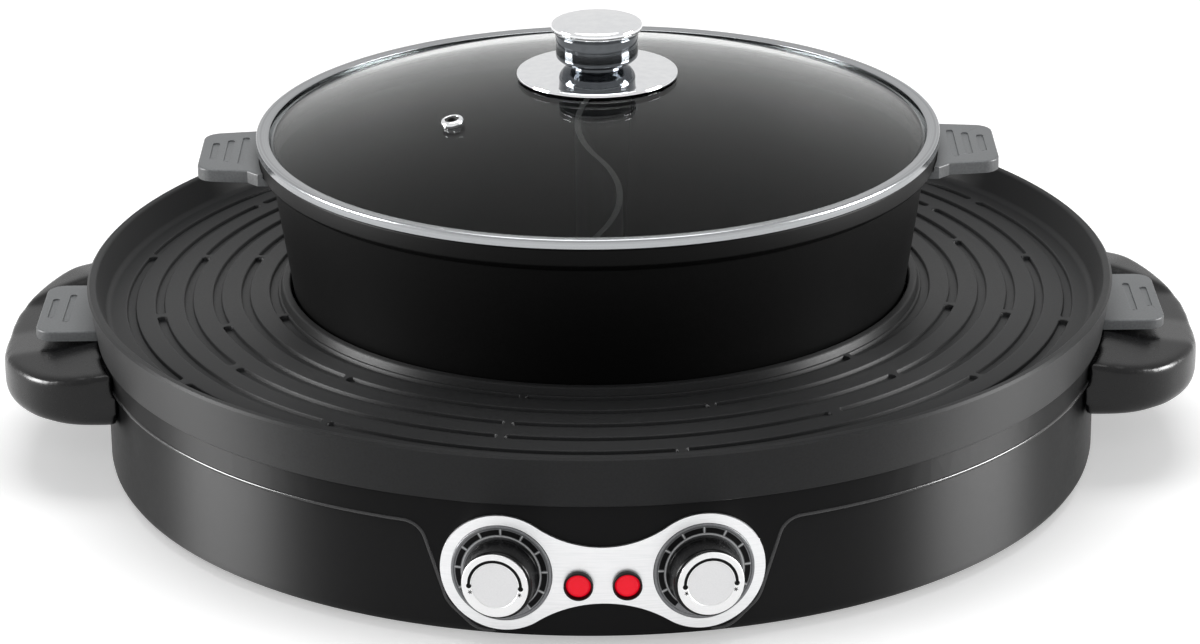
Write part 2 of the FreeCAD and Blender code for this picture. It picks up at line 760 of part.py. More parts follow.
def make_cover():
    """Steel bottom cover: vents, screw bosses and the rib that carries the well."""
    plate = cylinder("cover_disc", "cover_radius", "cover_low", "cover_plate")
    rib = lathe("cover_rib_ring", [
        ("cover_rib_radius - cover_rib / 2", "cover_low"),
        ("cover_rib_radius + cover_rib / 2", "cover_low"),
        ("cover_rib_radius + cover_rib / 2", "well_floor"),
        ("cover_rib_radius - cover_rib / 2", "well_floor")])
    bosses, bores = [], []
    for name, count, circle, start in (
            ("cover_boss", "cover_screw_count", "cover_screw_circle", "0"),
            ("foot_boss", "foot_count", "foot_circle", "45")):
        bosses += round_about(
            lambda label, x, y: cylinder(label, "boss_radius", "cover_low",
                                         "cover_plate + boss_height", x, y),
            name, size(count), circle, start)
        bores += round_about(
            lambda label, x, y: cylinder(label, "screw_radius + screw_fit", "0", "boss_top", x, y),
            name + "_bore", size(count), circle, start)
    notch = box("cover_rib_notch", "-pot_coil_radius * sin(pot_leg_angle) - wire_radius - 1",
                "2 * (pot_coil_radius * sin(pot_leg_angle) + wire_radius + 1)",
                "cover_rib_radius - cover_rib", "2 * cover_rib", "cover_top", "well_floor")
    vents = []
    for i in range(int(size("vent_count"))):
        vent = box("cover_vent_%d" % (i + 1), "vent_circle - vent_length / 2", "vent_length",
                   "-vent_width / 2", "vent_width", "0", "cover_top + overshoot")
        turn = 360.0 * (i + 0.5) / size("vent_count")
        at = "(vent_circle - vent_length / 2)"
        place(vent, x="%s * cos(%s) + vent_width / 2 * sin(%s)" % (at, turn, turn),
              y="%s * sin(%s) - vent_width / 2 * cos(%s)" % (at, turn, turn), yaw=str(turn))
        vents.append(vent)
    whole = fuse("cover_whole", plate, rib, *bosses)
    keep(cut("cover", whole, notch, *(bores + vents)), "bottom_cover")


def make_feet():
    """Four rubber feet, each held by a screw in its recess, and the cover's own screws."""
    feet, foot_screws = [], []
    for i in range(int(size("foot_count"))):
        turn = 45 + 360.0 * i / size("foot_count")
        x = "foot_circle * cos(%s)" % turn
        y = "foot_circle * sin(%s)" % turn
        foot = lathe("foot_%d" % (i + 1), [
            ("screw_radius + hole_play", "ground_gap - screw_short"),
            ("screw_head_radius + hole_play", "ground_gap - screw_short"),
            ("screw_head_radius + hole_play", "0"),
            ("foot_radius - foot_taper", "0"),
            ("foot_radius", "cover_low"),
            ("screw_radius + hole_play", "cover_low")])
        place(foot, x=x, y=y)
        feet.append(foot)
        foot_screws.append(screw_up("foot_screw_%d" % (i + 1), x, y,
                                    "ground_gap - screw_short - screw_head", "screw_head",
                                    "screw_head_radius", "screw_radius", "boss_top - screw_short"))
    keep(group("feet", *feet), "rubber_feet")
    keep(group("foot_screw_set", *foot_screws), "foot_screws")
    cover_screws = round_about(
        lambda name, x, y: screw_up(name, x, y, "ground_gap - screw_head", "screw_head",
                                    "screw_head_radius", "screw_radius", "boss_top - screw_short"),
        "cover_screw", size("cover_screw_count"), "cover_screw_circle")
    keep(group("cover_screw_set", *cover_screws), "cover_screws")


# --- reflector and heaters ----------------------------------------------------------------------


def coil_holes(name, circle, half_angle, low, height):
    """The two holes that a coil's legs go down through."""
    holes = []
    for i, turn in enumerate(("90 - %s" % half_angle, "90 + %s" % half_angle)):
        holes.append(cylinder("%s_%d" % (name, i + 1), "tube_radius + leg_sleeve + leg_play", low, height,
                              "%s * cos(%s)" % (circle, turn), "%s * sin(%s)" % (circle, turn)))
    return holes


def make_reflector():
    """One drawn sheet: a trough under the griddle and a well that the pot stands in."""
    pan = lathe("reflector_turned", [
        ("0", "well_floor"),
        ("well_radius + reflector_sheet", "well_floor"),
        ("well_radius + reflector_sheet", "trough_floor"),
        ("trough_radius + reflector_sheet", "trough_floor"),
        ("trough_radius + reflector_sheet", "drum_top"),
        ("base_radius", "drum_top"),
        ("base_radius", "drum_top + reflector_sheet"),
        ("trough_radius", "drum_top + reflector_sheet"),
        ("trough_radius", "trough_top"),
        ("well_radius", "trough_top"),
        ("well_radius", "well_top"),
        ("0", "well_top")])
    holes = coil_holes("trough_hole", "griddle_coil_radius", "coil_leg_angle", "trough_floor - overshoot",
                       "2 * overshoot")
    holes += coil_holes("well_hole", "pot_coil_radius", "pot_leg_angle", "well_floor - overshoot",
                        "2 * overshoot")
    keep(cut("reflector", pan, *holes), "reflector_pan")


def coil(name, circle, level, half_angle, leg_low):
    """A tubular heater: almost a full ring, with two sleeved cold legs at the back."""
    ring = doc.addObject("Part::Torus", name + "_ring")
    bind(ring, Radius1=circle, Radius2="tube_radius", Angle3="360 - 2 * (%s)" % half_angle)
    place(ring, z=level, yaw="90 + %s" % half_angle)
    pieces = [ring]
    for i, turn in enumerate(("90 - %s" % half_angle, "90 + %s" % half_angle)):
        pieces.append(cylinder("%s_leg_%d" % (name, i + 1), "tube_radius + leg_sleeve", leg_low,
                               "%s + tube_radius / 2 - (%s)" % (level, leg_low),
                               "%s * cos(%s)" % (circle, turn), "%s * sin(%s)" % (circle, turn)))
    return fuse(name, *pieces)


def plate_level(radius):
    """Height of the griddle's top face at a radius."""
    return "(plate_outer_level + (plate_outer - (%s)) * plate_slope)" % radius


GRIDDLE_COIL = "(%s - plate_thick - seat_gap - tube_radius)" % plate_level(
    "griddle_coil_radius + tube_radius")
POT_COIL = "(plate_low - skin_gap - tube_radius)"


def make_heaters():
    """The griddle's tubular heater on its brackets, and the pot's hot plate."""
    keep(coil("griddle_coil", "griddle_coil_radius", GRIDDLE_COIL, "coil_leg_angle",
              "cover_top + block_height + seat_gap"), "griddle_heater")
    brackets = []
    for i in range(int(size("bracket_count"))):
        turn = 360.0 * (i + 0.5) / size("bracket_count")
        stand = doc.addObject("Part::Box", "bracket_%d" % (i + 1))
        bind(stand, Length="bracket_sheet", Width="bracket_width",
             Height="%s - tube_radius - skin_gap - trough_top" % GRIDDLE_COIL)
        at = "(griddle_coil_radius - bracket_sheet / 2)"
        place(stand, x="%s * cos(%s) + bracket_width / 2 * sin(%s)" % (at, turn, turn),
              y="%s * sin(%s) - bracket_width / 2 * cos(%s)" % (at, turn, turn),
              z="trough_top", yaw=str(turn))
        brackets.append(stand)
    keep(group("brackets", *brackets), "heater_brackets")

    disc = lathe("plate_disc", [
        ("plate_hole_radius", "plate_low"),
        ("plate_radius", "plate_low"),
        ("plate_radius", "plate_top"),
        ("plate_hole_radius", "plate_top")])
    legs = round_about(
        lambda name, x, y: cylinder(name, "plate_leg_radius", "well_top",
                                    "plate_low + overshoot / 5 - well_top", x, y),
        "plate_leg", size("plate_leg_count"), "plate_leg_circle", "30")
    keep(fuse("hot_plate", disc, *legs), "pot_hot_plate")
    keep(coil("pot_coil", "pot_coil_radius", POT_COIL, "pot_leg_angle",
              "cover_top + 2 * wire_radius + 2 * seat_gap"), "pot_heater")
    keep(lathe("sensor", [
        ("0", "well_top"),
        ("sensor_radius + sensor_foot", "well_top"),
        ("sensor_radius + sensor_foot", "well_top + sensor_foot_height"),
        ("sensor_radius", "well_top + sensor_foot_height"),
        ("sensor_radius", "plate_top"),
        ("0", "plate_top")]), "pot_sensor")


# --- control panel -----------------------------------------------------------------------------


def make_fascia():
    """Bright plate in the shape of a dumb-bell, curved round the drum."""
    neck_radius = ("((fascia_lobe_offset ^ 2 + fascia_neck_half ^ 2 - fascia_lobe_radius ^ 2)"
                   " / (2 * (fascia_lobe_radius - fascia_neck_half)))")
    reach = "(fascia_neck_half + %s)" % neck_radius
    share = "%s / (fascia_lobe_radius + %s)" % (neck_radius, neck_radius)
    bar_half = "(fascia_lobe_offset * %s + overshoot / 2)" % share
    bar_rise = "(%s * fascia_lobe_radius / (fascia_lobe_radius + %s))" % (reach, neck_radius)
    depth = "(panel_radius + fascia_thick)"
    bar = box("fascia_bar", "-" + bar_half, "2 * " + bar_half, "-" + depth, depth,
              "knob_level - " + bar_rise, "2 * " + bar_rise)
    waists = []
    for name, sign in (("low", "-1"), ("high", "1")):
        waist = doc.addObject("Part::Cylinder", "fascia_waist_" + name)
        bind(waist, Radius=neck_radius, Height=depth + " + overshoot")
        place(waist, z="knob_level + %s * %s" % (sign, reach), roll="90")
        waists.append(waist)
    lobes = []
    for side, sign in SIDES:
        lobe = doc.addObject("Part::Cylinder", "fascia_lobe_" + side)
        bind(lobe, Radius="fascia_lobe_radius", Height=depth)
        place(lobe, x="%s * fascia_lobe_offset" % sign, z="knob_level", roll="90")
        lobes.append(lobe)
    plan = fuse("fascia_plan", cut("fascia_neck", bar, *waists), *lobes)
    inside = "(panel_radius - seat_gap)"
    sleeve = lathe("fascia_sleeve", [
        (inside, "0"),
        (inside + " + fascia_thick", "0"),
        (inside + " + fascia_thick", "shoulder_top"),
        (inside, "shoulder_top")])
    holes = []
    for side, sign in SIDES:
        for kind, azimuth, level, radius in (
                ("dial", "knob_azimuth", "knob_level", "dial_radius + fit_gap"),
                ("lamp", "lamp_azimuth", "lamp_level", "bezel_barrel_radius + fit_gap")):
            hole = doc.addObject("Part::Cylinder", "fascia_%s_hole_%s" % (kind, side))
            bind(hole, Radius=radius, Height="2 * overshoot")
            on_panel(hole, "(%s * %s)" % (sign, azimuth), level, "-overshoot")
            holes.append(hole)
    keep(cut("fascia", common("fascia_blank", sleeve, plan), *holes), "fascia_plate")


def make_control(side, sign):
    """Dial, thermostat, nut, shaft, knob and knob face on one radial axis."""
    azimuth = "(%s * knob_azimuth)" % sign
    dial = lathe("dial_" + side, [
        ("bush_radius + fit_gap", "-seat_gap"),
        ("dial_radius", "-seat_gap"),
        ("dial_radius", "dial_front"),
        ("bush_radius + fit_gap", "dial_front")])
    keep(on_panel(dial, azimuth, "knob_level"), "dial_" + side)

    body = box("thermostat_box_" + side, "-thermostat_width / 2", "thermostat_width",
               "-thermostat_height / 2", "thermostat_height",
               "-thermostat_inset - thermostat_depth", "thermostat_depth")
    bush = cylinder("thermostat_bush_" + side, "bush_radius", "-thermostat_inset - shaft_radius",
                    "thermostat_inset + shaft_radius + bush_length")
    bore = cylinder("thermostat_bore_" + side, "shaft_radius + shaft_play",
                    "-shaft_root - seat_gap", "shaft_root + seat_gap + bush_length + overshoot")
    thermostat = cut("thermostat_" + side, fuse("thermostat_whole_" + side, body, bush), bore)
    keep(on_panel(thermostat, azimuth, "knob_level"), "thermostat_" + side)

    hexagon = doc.addObject("Part::Prism", "nut_hexagon_" + side)
    hexagon.Polygon = 6
    bind(hexagon, Circumradius="nut_radius", Height="nut_thick",
         Placement__Base__z="dial_front")
    nut_bore = cylinder("nut_bore_" + side, "bush_radius + screw_fit", "0", "nut_thick + overshoot")
    nut = on_panel(cut("nut_" + side, hexagon, nut_bore), azimuth, "knob_level")

    face_low = "knob_face_low"
    shaft = cylinder("shaft_" + side, "shaft_radius", "-shaft_root",
                     "shaft_root + knob_face_low - seat_gap")
    keep(on_panel(group("shaft_turned_" + side, shaft), azimuth, "knob_level"),
         "control_shaft_" + side)

    cave_top = "knob_low + knob_cave"
    bore_radius = "shaft_radius + shaft_play"
    knob = lathe("knob_" + side, [
        (bore_radius, cave_top),
        ("knob_cave_radius", cave_top),
        ("knob_cave_radius", "knob_low"),
        ("knob_skirt_radius", "knob_low"),
        ("knob_skirt_radius", "knob_low + knob_skirt"),
        ("knob_top_radius + knob_face_inset", "knob_top - knob_edge"),
        ("knob_top_radius", "knob_top"),
        ("knob_face_radius + fit_gap", "knob_top"),
        ("knob_face_radius + fit_gap", face_low),
        (bore_radius, face_low)])
    keep(on_panel(knob, azimuth, "knob_level"), "knob_" + side)

    face = lathe("knob_face_" + side, [
        ("0", face_low),
        ("knob_face_radius", face_low),
        ("knob_face_radius", face_low + " + knob_face_thick"),
        ("0", face_low + " + knob_face_thick")])
    keep(on_panel(face, azimuth, "knob_level"), "knob_face_" + side)
    return nut


def make_lamp(side, sign):
    """Indicator lamp: black bezel with a barrel, red lens, and the neon bulb behind it."""
    azimuth = "(%s * lamp_azimuth)" % sign
    seat = "bezel_seat"
    bezel = lathe("bezel_" + side, [
        ("bezel_bore_radius", "-bezel_barrel"),
        ("bezel_barrel_radius", "-bezel_barrel"),
        ("bezel_barrel_radius", seat),
        ("bezel_radius", seat),
        ("bezel_radius", seat + " + bezel_lip"),
        ("lens_radius + skin_gap", seat + " + bezel_lip"),
        ("lens_radius + skin_gap", seat + " + lens_seat"),
        ("bezel_bore_radius", seat + " + lens_seat")])
    keep(on_panel(bezel, azimuth, "lamp_level"), "lamp_bezel_" + side)

    lens_low = seat + " + lens_seat"
    lens_body = cylinder("lens_edge_" + side, "lens_radius", lens_low, "lens_edge")
    sphere_radius = "((lens_radius ^ 2 + lens_dome ^ 2) / (2 * lens_dome))"
    dome = doc.addObject("Part::Sphere", "lens_sphere_" + side)
    bind(dome, Radius=sphere_radius)
    place(dome, z="%s + lens_edge + lens_dome - %s" % (lens_low, sphere_radius))
    bound = cylinder("lens_bound_" + side, "lens_radius", lens_low + " + lens_edge / 2",
                     "lens_edge + lens_dome")
    lens = fuse("lens_" + side, lens_body, common("lens_dome_" + side, dome, bound))
    keep(on_panel(lens, azimuth, "lamp_level"), "lamp_lens_" + side)

    bulb = cylinder("bulb_" + side, "bulb_radius", "-bezel_barrel - bulb_tail",
                    "bezel_barrel + bulb_tail + bezel_seat")
    return on_panel(group("bulb_turned_" + side, bulb), azimuth, "lamp_level")


# --- side handles ---------------------------------------------------------------------------------


def make_handle(side, sign):
    """Moulded grip: a valley for the griddle's ear between a back ridge and a front lobe."""
    def plan(x_root, x_shoulder, x_tip, inset):
        half = "(handle_half - %s)" % inset
        tip_half = "(handle_tip_half - %s / 2)" % inset
        spots = [(x_root, "-" + half), (x_shoulder, "-" + half), (x_tip, "-" + tip_half),
                 (x_tip, tip_half), (x_shoulder, half), (x_root, half)]
        return [("%s * (%s)" % (sign, x), y) for x, y in spots]

    name = "handle_" + side
    blank = slab(name + "_blank", plan("base_radius - handle_root", "handle_shoulder", "handle_tip",
                                       "0"),
                 "handle_low", "rim_top - handle_low")

    def beyond(edge, reach):
        return abs(edge.CenterOfMass.x) > size(reach) - 1e-3

    soften(blank, "handle_corner",
           lambda e: upright(e) and beyond(e, "handle_shoulder") and not beyond(e, "handle_tip"),
           "corner_round")
    soften(blank, "handle_tip_round", lambda e: upright(e) and beyond(e, "handle_tip"), "tip_round")
    root = size("base_radius") - size("handle_root") + 1e-3
    soften(blank, "handle_edge", lambda e: abs(e.CenterOfMass.z - size("handle_low")) < 1e-6
           and e.BoundBox.ZLength < 1e-6 and abs(e.CenterOfMass.x) > root, "under_round")

    # All that lies above the sloping top: a section drawn on its side and run outwards.
    section = doc.addObject("Sketcher::SketchObject", name + "_section")
    margin = "handle_corner"
    spots = [("-handle_half - " + margin, "handle_front_level - %s * handle_front_fall" % margin),
             ("-handle_half", "handle_front_level"),
             ("-handle_crease", "handle_crease_level"),
             ("0", "handle_valley_level"),
             ("handle_ridge_foot", "handle_ridge_foot_level"),
             ("handle_ridge", "handle_ridge_level"),
             ("handle_half", "handle_back_level"),
             ("handle_half + " + margin, "handle_back_level - %s * handle_back_fall" % margin)]
    top = [(y, "drum_top + " + level) for y, level in spots]
    outline(section, [(top[0][0], "2 * rim_top")] + top + [(top[-1][0], "2 * rim_top")])
    spin = "create(<<rotation>>; 90; 0; 90)"
    bind(section, Placement="create(<<placement>>; create(<<vector>>; %s * base_radius; 0; 0); %s)"
         % (sign, spin))
    above = doc.addObject("Part::Extrusion", name + "_above")
    above.Base = section
    above.DirMode = "Custom"
    above.Dir = Vector(float(sign), 0, 0)
    bind(above, Dir__z="-handle_fall", LengthFwd="2 * handle_reach", LengthRev="handle_reach")
    above.Solid = True

    # The crown trims the ridge towards the tip: a section seen from the front, run along Y.
    crown = doc.addObject("Sketcher::SketchObject", name + "_crown")
    high = "drum_top + handle_crown_level"
    line = [("%s * (base_radius - 2 * handle_root)" % sign, high)]
    line += [("%s * (base_radius + handle_reach * %s)" % (sign, share),
              "%s - handle_crown_slope * %s - handle_crown_bend * %s ^ 3" % (high, share, share))
             for share in ("0", "0.2", "0.4", "0.6", "0.75", "0.87", "1.05")]
    outline(crown, [(line[0][0], "2 * rim_top")] + line + [(line[-1][0], "2 * rim_top")])
    bind(crown, Placement="create(<<placement>>; create(<<vector>>; 0; 0; 0);"
                          " create(<<rotation>>; 0; 0; 90))")
    over = doc.addObject("Part::Extrusion", name + "_over")
    over.Base = crown
    over.DirMode = "Custom"
    over.Dir = Vector(0, 1, 0)
    bind(over, LengthFwd="2 * handle_half", LengthRev="2 * handle_half")
    over.Solid = True

    seat = lathe(name + "_seat", [
        ("0", "0"),
        ("base_radius + skin_gap", "0"),
        ("base_radius + skin_gap", "shoulder_low - seat_gap"),
        ("shoulder_outside + skin_gap", "shoulder_low - seat_gap"),
        ("shoulder_outside + skin_gap", "shoulder_top - seat_gap"),
        ("rim_radius - handle_rim_inset", "shoulder_top - seat_gap"),
        ("rim_radius - handle_rim_inset", "2 * rim_top"),
        ("0", "2 * rim_top")])
    grip = slab(name + "_grip", plan("grip_inner", "handle_shoulder", "handle_tip - grip_inset",
                                     "grip_inset * 1.4"),
                "handle_low - overshoot", "grip_depth + overshoot")
    soften(grip, "grip_round", lambda e: upright(e) and not abs(e.CenterOfMass.x) < size("grip_inner") + 1e-3)
    bores = [handle_screw_hole("%s_bore%s" % (name, spot), sign, spot,
                               "handle_screw_radius + screw_fit") for spot in ("-1", "1")]
    keep(cut(name, blank, above, over, seat, grip, *bores), name)

    screws = []
    for spot in ("-1", "1"):
        head_back = "(sqrt(drum_inside ^ 2 - (handle_screw_spread + handle_screw_head_radius) ^ 2)" \
            " - fit_gap - handle_screw_head)"
        screw = screw_up("%s_screw%s" % (name, spot), "0", "0", "0", "handle_screw_head",
                         "handle_screw_head_radius", "handle_screw_radius",
                         "handle_screw_length + handle_screw_head")
        place(screw, x="%s * %s" % (sign, head_back), y="%s * handle_screw_spread" % spot,
              z="handle_screw_level", pitch="%s * 90" % sign)
        screws.append(screw)
    return screws


# --- power inlet and wiring -----------------------------------------------------------------------


def make_inlet():
    """Three-pin power inlet at the back, its screws and its blades."""
    barrel = box("inlet_barrel", "-inlet_half", "2 * inlet_half", "inlet_back",
                 "inlet_front - inlet_back", "inlet_level - inlet_half_height",
                 "2 * inlet_half_height")
    plate = box("inlet_plate", "-inlet_flange_half", "2 * inlet_flange_half", "inlet_back",
                "inlet_flange - inlet_back", "inlet_level - inlet_flange_half_height",
                "2 * inlet_flange_half_height")
    drum_space = cylinder("inlet_drum_space", "base_radius + skin_gap", "0", "rim_top")
    flange = cut("inlet_flange", plate, drum_space)
    pins, pin_holes, screws, bores = [], [], [], []
    for i, spot in enumerate(("-1", "0", "1")):
        pins.append(box("pin_%d" % i, "%s * pin_spread - pin_width / 2" % spot, "pin_width",
                        "pin_tail", "pin_tip - pin_tail", "inlet_level - pin_height / 2",
                        "pin_height"))
        pin_holes.append(box("pin_hole_%d" % i, "%s * pin_spread - pin_width / 2 - screw_fit" % spot,
                             "pin_width + 2 * screw_fit", "inlet_back - overshoot",
                             "inlet_front - inlet_back",
                             "inlet_level - pin_height / 2 - screw_fit",
                             "pin_height + 2 * screw_fit"))
    for i, spot in enumerate(("-1", "1")):
        tip = "(sqrt(drum_inside ^ 2 - inlet_screw_spread ^ 2) - inlet_screw_inside)"
        screw = screw_up("inlet_screw_%d" % i, "0", "0", "0", "screw_head", "screw_head_radius",
                         "screw_radius", "inlet_flange + screw_head - %s" % tip)
        place(screw, x="%s * inlet_screw_spread" % spot, y="inlet_flange + screw_head",
              z="inlet_level", roll="90")
        screws.append(screw)
        bore = doc.addObject("Part::Cylinder", "inlet_bore_%d" % i)
        bind(bore, Radius="screw_radius + screw_fit", Height="inlet_front - inlet_back")
        place(bore, x="%s * inlet_screw_spread" % spot, y="inlet_flange + screw_short",
              z="inlet_level", roll="90")
        bores.append(bore)
    body = fuse("inlet_whole", barrel, flange)
    hollow = box("inlet_mouth", "-inlet_half + inlet_wall", "2 * (inlet_half - inlet_wall)",
                 "inlet_front - inlet_socket_depth", "inlet_socket_depth + overshoot",
                 "inlet_level - inlet_half_height + inlet_wall",
                 "2 * (inlet_half_height - inlet_wall)")
    keep(cut("inlet", body, hollow, *(pin_holes + bores)), "power_inlet")
    keep(group("inlet_pin_set", *pins), "inlet_pins")
    keep(group("inlet_screw_set", *screws), "inlet_screws")


def make_wiring():
    """Terminal block, thermal fuse, and the leads that lie on the bottom cover."""
    keep(group("block", box("terminal_box", "-block_half", "2 * block_half",
                            "block_back", "block_depth", "cover_top",
                            "block_height")), "terminal_block")
    fuse_body = cylinder("fuse_body", "fuse_radius", "-fuse_length / 2", "fuse_length")
    place(fuse_body, x="griddle_coil_radius * cos(fuse_azimuth) - fuse_length / 2",
          y="griddle_coil_radius * sin(fuse_azimuth)",
          z="trough_floor - skin_gap - fuse_radius", pitch="90")
    keep(group("fuse_set", fuse_body), "thermal_fuse")

    level = "(cover_top + skin_gap + wire_radius)"
    leads = []
    for side, sign in SIDES:
        # Along the drum from the terminal block to under the thermostat, then up.
        block_turn = "(acos((block_half + seat_gap) / wire_circle) / 1 deg)"
        end = "(90 - knob_azimuth)"
        arc = doc.addObject("Part::Torus", "lead_arc_" + side)
        bind(arc, Radius1="wire_circle", Radius2="wire_radius",
             Angle3="%s + %s" % (block_turn, end))
        yaw = "-" + end if sign == "1" else "180 - " + block_turn
        place(arc, z=level, yaw=yaw)
        low = "(%s - wire_radius / 2)" % level
        riser = cylinder("lead_riser_" + side, "wire_radius + wire_sleeve", low,
                         "knob_level - thermostat_height / 2 - skin_gap - %s" % low,
                         "%s * wire_circle * sin(knob_azimuth)" % sign,
                         "-wire_circle * cos(knob_azimuth)")
        leads.append(fuse("lead_" + side, arc, riser))
    for i, spot in enumerate(("-1", "1")):
        x = "%s * pot_coil_radius * sin(pot_leg_angle)" % spot
        tail = doc.addObject("Part::Cylinder", "pot_lead_%d" % i)
        start = "pot_coil_radius * cos(pot_leg_angle)"
        bind(tail, Radius="wire_radius", Height="block_back - skin_gap - " + start)
        place(tail, x=x, y="block_back - skin_gap", z=level, roll="90")
        leads.append(group("pot_lead_turned_%d" % i, tail))
    for i, spot in enumerate(("-1", "0", "1")):
        low = "(cover_top + block_height)"
        leads.append(cylinder("inlet_lead_%d" % i, "pin_width / 2", low,
                              "inlet_level - pin_height / 2 - %s" % low,
                              "%s * pin_spread" % spot, "pin_tail + pin_width"))
    keep(group("lead_set", *leads), "wire_leads")


# --- ring griddle ---------------------------------------------------------------------------------


def make_griddle():
    """Cast ring pan: collar round the pot, falling plate with grooves, raised rim, lugs."""
    seat = "shoulder_top + seat_gap"
    body = lathe("griddle_turned", [
        ("collar_radius", "plate_inner_level - plate_thick"),
        ("plate_inner - collar_foot", "plate_inner_level - plate_thick"),
        ("skirt_radius - skirt_wall - collar_foot", "plate_outer_level - plate_thick"),
        ("skirt_radius - skirt_wall", seat),
        ("skirt_radius", seat),
        ("rim_radius", "rim_top - rim_edge"),
        ("rim_radius - rim_edge", "rim_top"),
        ("rim_radius - rim_lip", "rim_top"),
        ("plate_outer", "plate_outer_level"),
        ("plate_inner", "plate_inner_level"),
        ("collar_radius + collar_wall", "collar_top"),
        ("collar_radius", "collar_top")])
    for ring in range(int(size("groove_ring_count"))):
        cut_grooves(body, ring)
    pieces = [body]
    holes = []
    for side, sign in SIDES:
        x_low = "skirt_radius - lug_root" if sign == "1" else "-lug_tip"
        pieces.append(box("griddle_lug_" + side, x_low, "lug_tip - skirt_radius + lug_root",
                          "-lug_half", "2 * lug_half", "lug_low", "lug_thick"))
        for spot in ("-1", "1"):
            holes.append(cylinder("griddle_lug_hole_%s%s" % (side, spot),
                                  "ear_screw_radius + screw_fit", "ear_low", "ear_thick",
                                  "%s * ear_screw_reach" % sign, "%s * ear_screw_spread" % spot))
    keep(cut("griddle", fuse("griddle_whole", *pieces), *holes), "griddle_pan")


def cut_grooves(body, ring):
    """One ring of round-ended grooves, let into the plate by the same depth all round."""
    radius = "(groove_outer_radius - %d * groove_pitch)" % ring
    count = 8 if ring < 3 else 6
    name = "groove_%d" % (ring + 1)
    middle = "(groove_start + %s)" % (180.0 / count * (1 if ring % 2 == 0 else 2))
    span = "(360 / %d - groove_gap / %s * 180 / pi)" % (count, radius)
    floor = "(%s - groove_depth)" % plate_level(radius)

    section = new_sketch(body, "XZ_Plane", name + "_section", turn=middle)
    outline(section, [
        (radius + " - groove_width / 2", floor),
        (radius + " + groove_width / 2", floor),
        (radius + " + groove_width / 2", "rim_top"),
        (radius + " - groove_width / 2", "rim_top")])
    swept = body.newObject("PartDesign::Groove", name + "_swept")
    swept.Profile = (section, [""])
    swept.ReferenceAxis = (section, ["V_Axis"])
    swept.Midplane = True
    bind(swept, Angle=span)

    ends = new_sketch(body, "XY_Plane", name + "_ends", lift=floor)
    for i, sign in enumerate(("-", "+")):
        at = "(%s %s %s / 2)" % (middle, sign, span)
        guess = Vector(size("groove_outer_radius"), 2 * i * size("groove_pitch"), 0)
        ends.addGeometry(Part.Circle(guess, Vector(0, 0, 1), size("groove_width") / 2))
        for kind, value, text in (
                ("Radius", size("groove_width") / 2, "groove_width / 2"),
                ("DistanceX", guess.x, "%s * cos(%s)" % (radius, at)),
                ("DistanceY", guess.y, "%s * sin(%s)" % (radius, at))):
            if kind == "Radius":
                spot = ends.addConstraint(Sketcher.Constraint(kind, i, value))
            else:
                spot = ends.addConstraint(Sketcher.Constraint(kind, -1, 1, i, 3, value))
            ends.setExpression("Constraints[%d]" % spot, cells(text))
    pocket = body.newObject("PartDesign::Pocket", name + "_rounded")
    pocket.Profile = (ends, [""])
    pocket.Reversed = True
    bind(pocket, Length="rim_depth")

    pattern = body.newObject("PartDesign::PolarPattern", name + "_ring")
    pattern.Originals = [swept, pocket]
    pattern.Axis = (section, ["V_Axis"])
    pattern.Angle = 360
    pattern.Occurrences = count
    body.Tip = pattern


def ear_slots(name, spots, low, height):
    """Cutters for the grip slots of an ear: a trough, and a deeper hole at its front end."""
    cutters = []
    for i, (x, length) in enumerate(spots):
        half = "(%s) / 2 - ear_slot_width / 2" % length
        cutters.append(box("%s_slot_%d" % (name, i), "%s - ear_slot_width / 2" % x,
                           "ear_slot_width", "-(%s)" % half, "2 * (%s)" % half, low, height))
        for end in ("-", ""):
            cutters.append(cylinder("%s_slot_%d_end%s" % (name, i, end or "+"),
                                    "ear_slot_width / 2", low, height, x, "%s(%s)" % (end, half)))
        cutters.append(cylinder("%s_slot_%d_pit" % (name, i), "ear_slot_width / 2 - ear_pit",
                                "%s - ear_pit" % low, height, x, "-(%s)" % half))
    return cutters


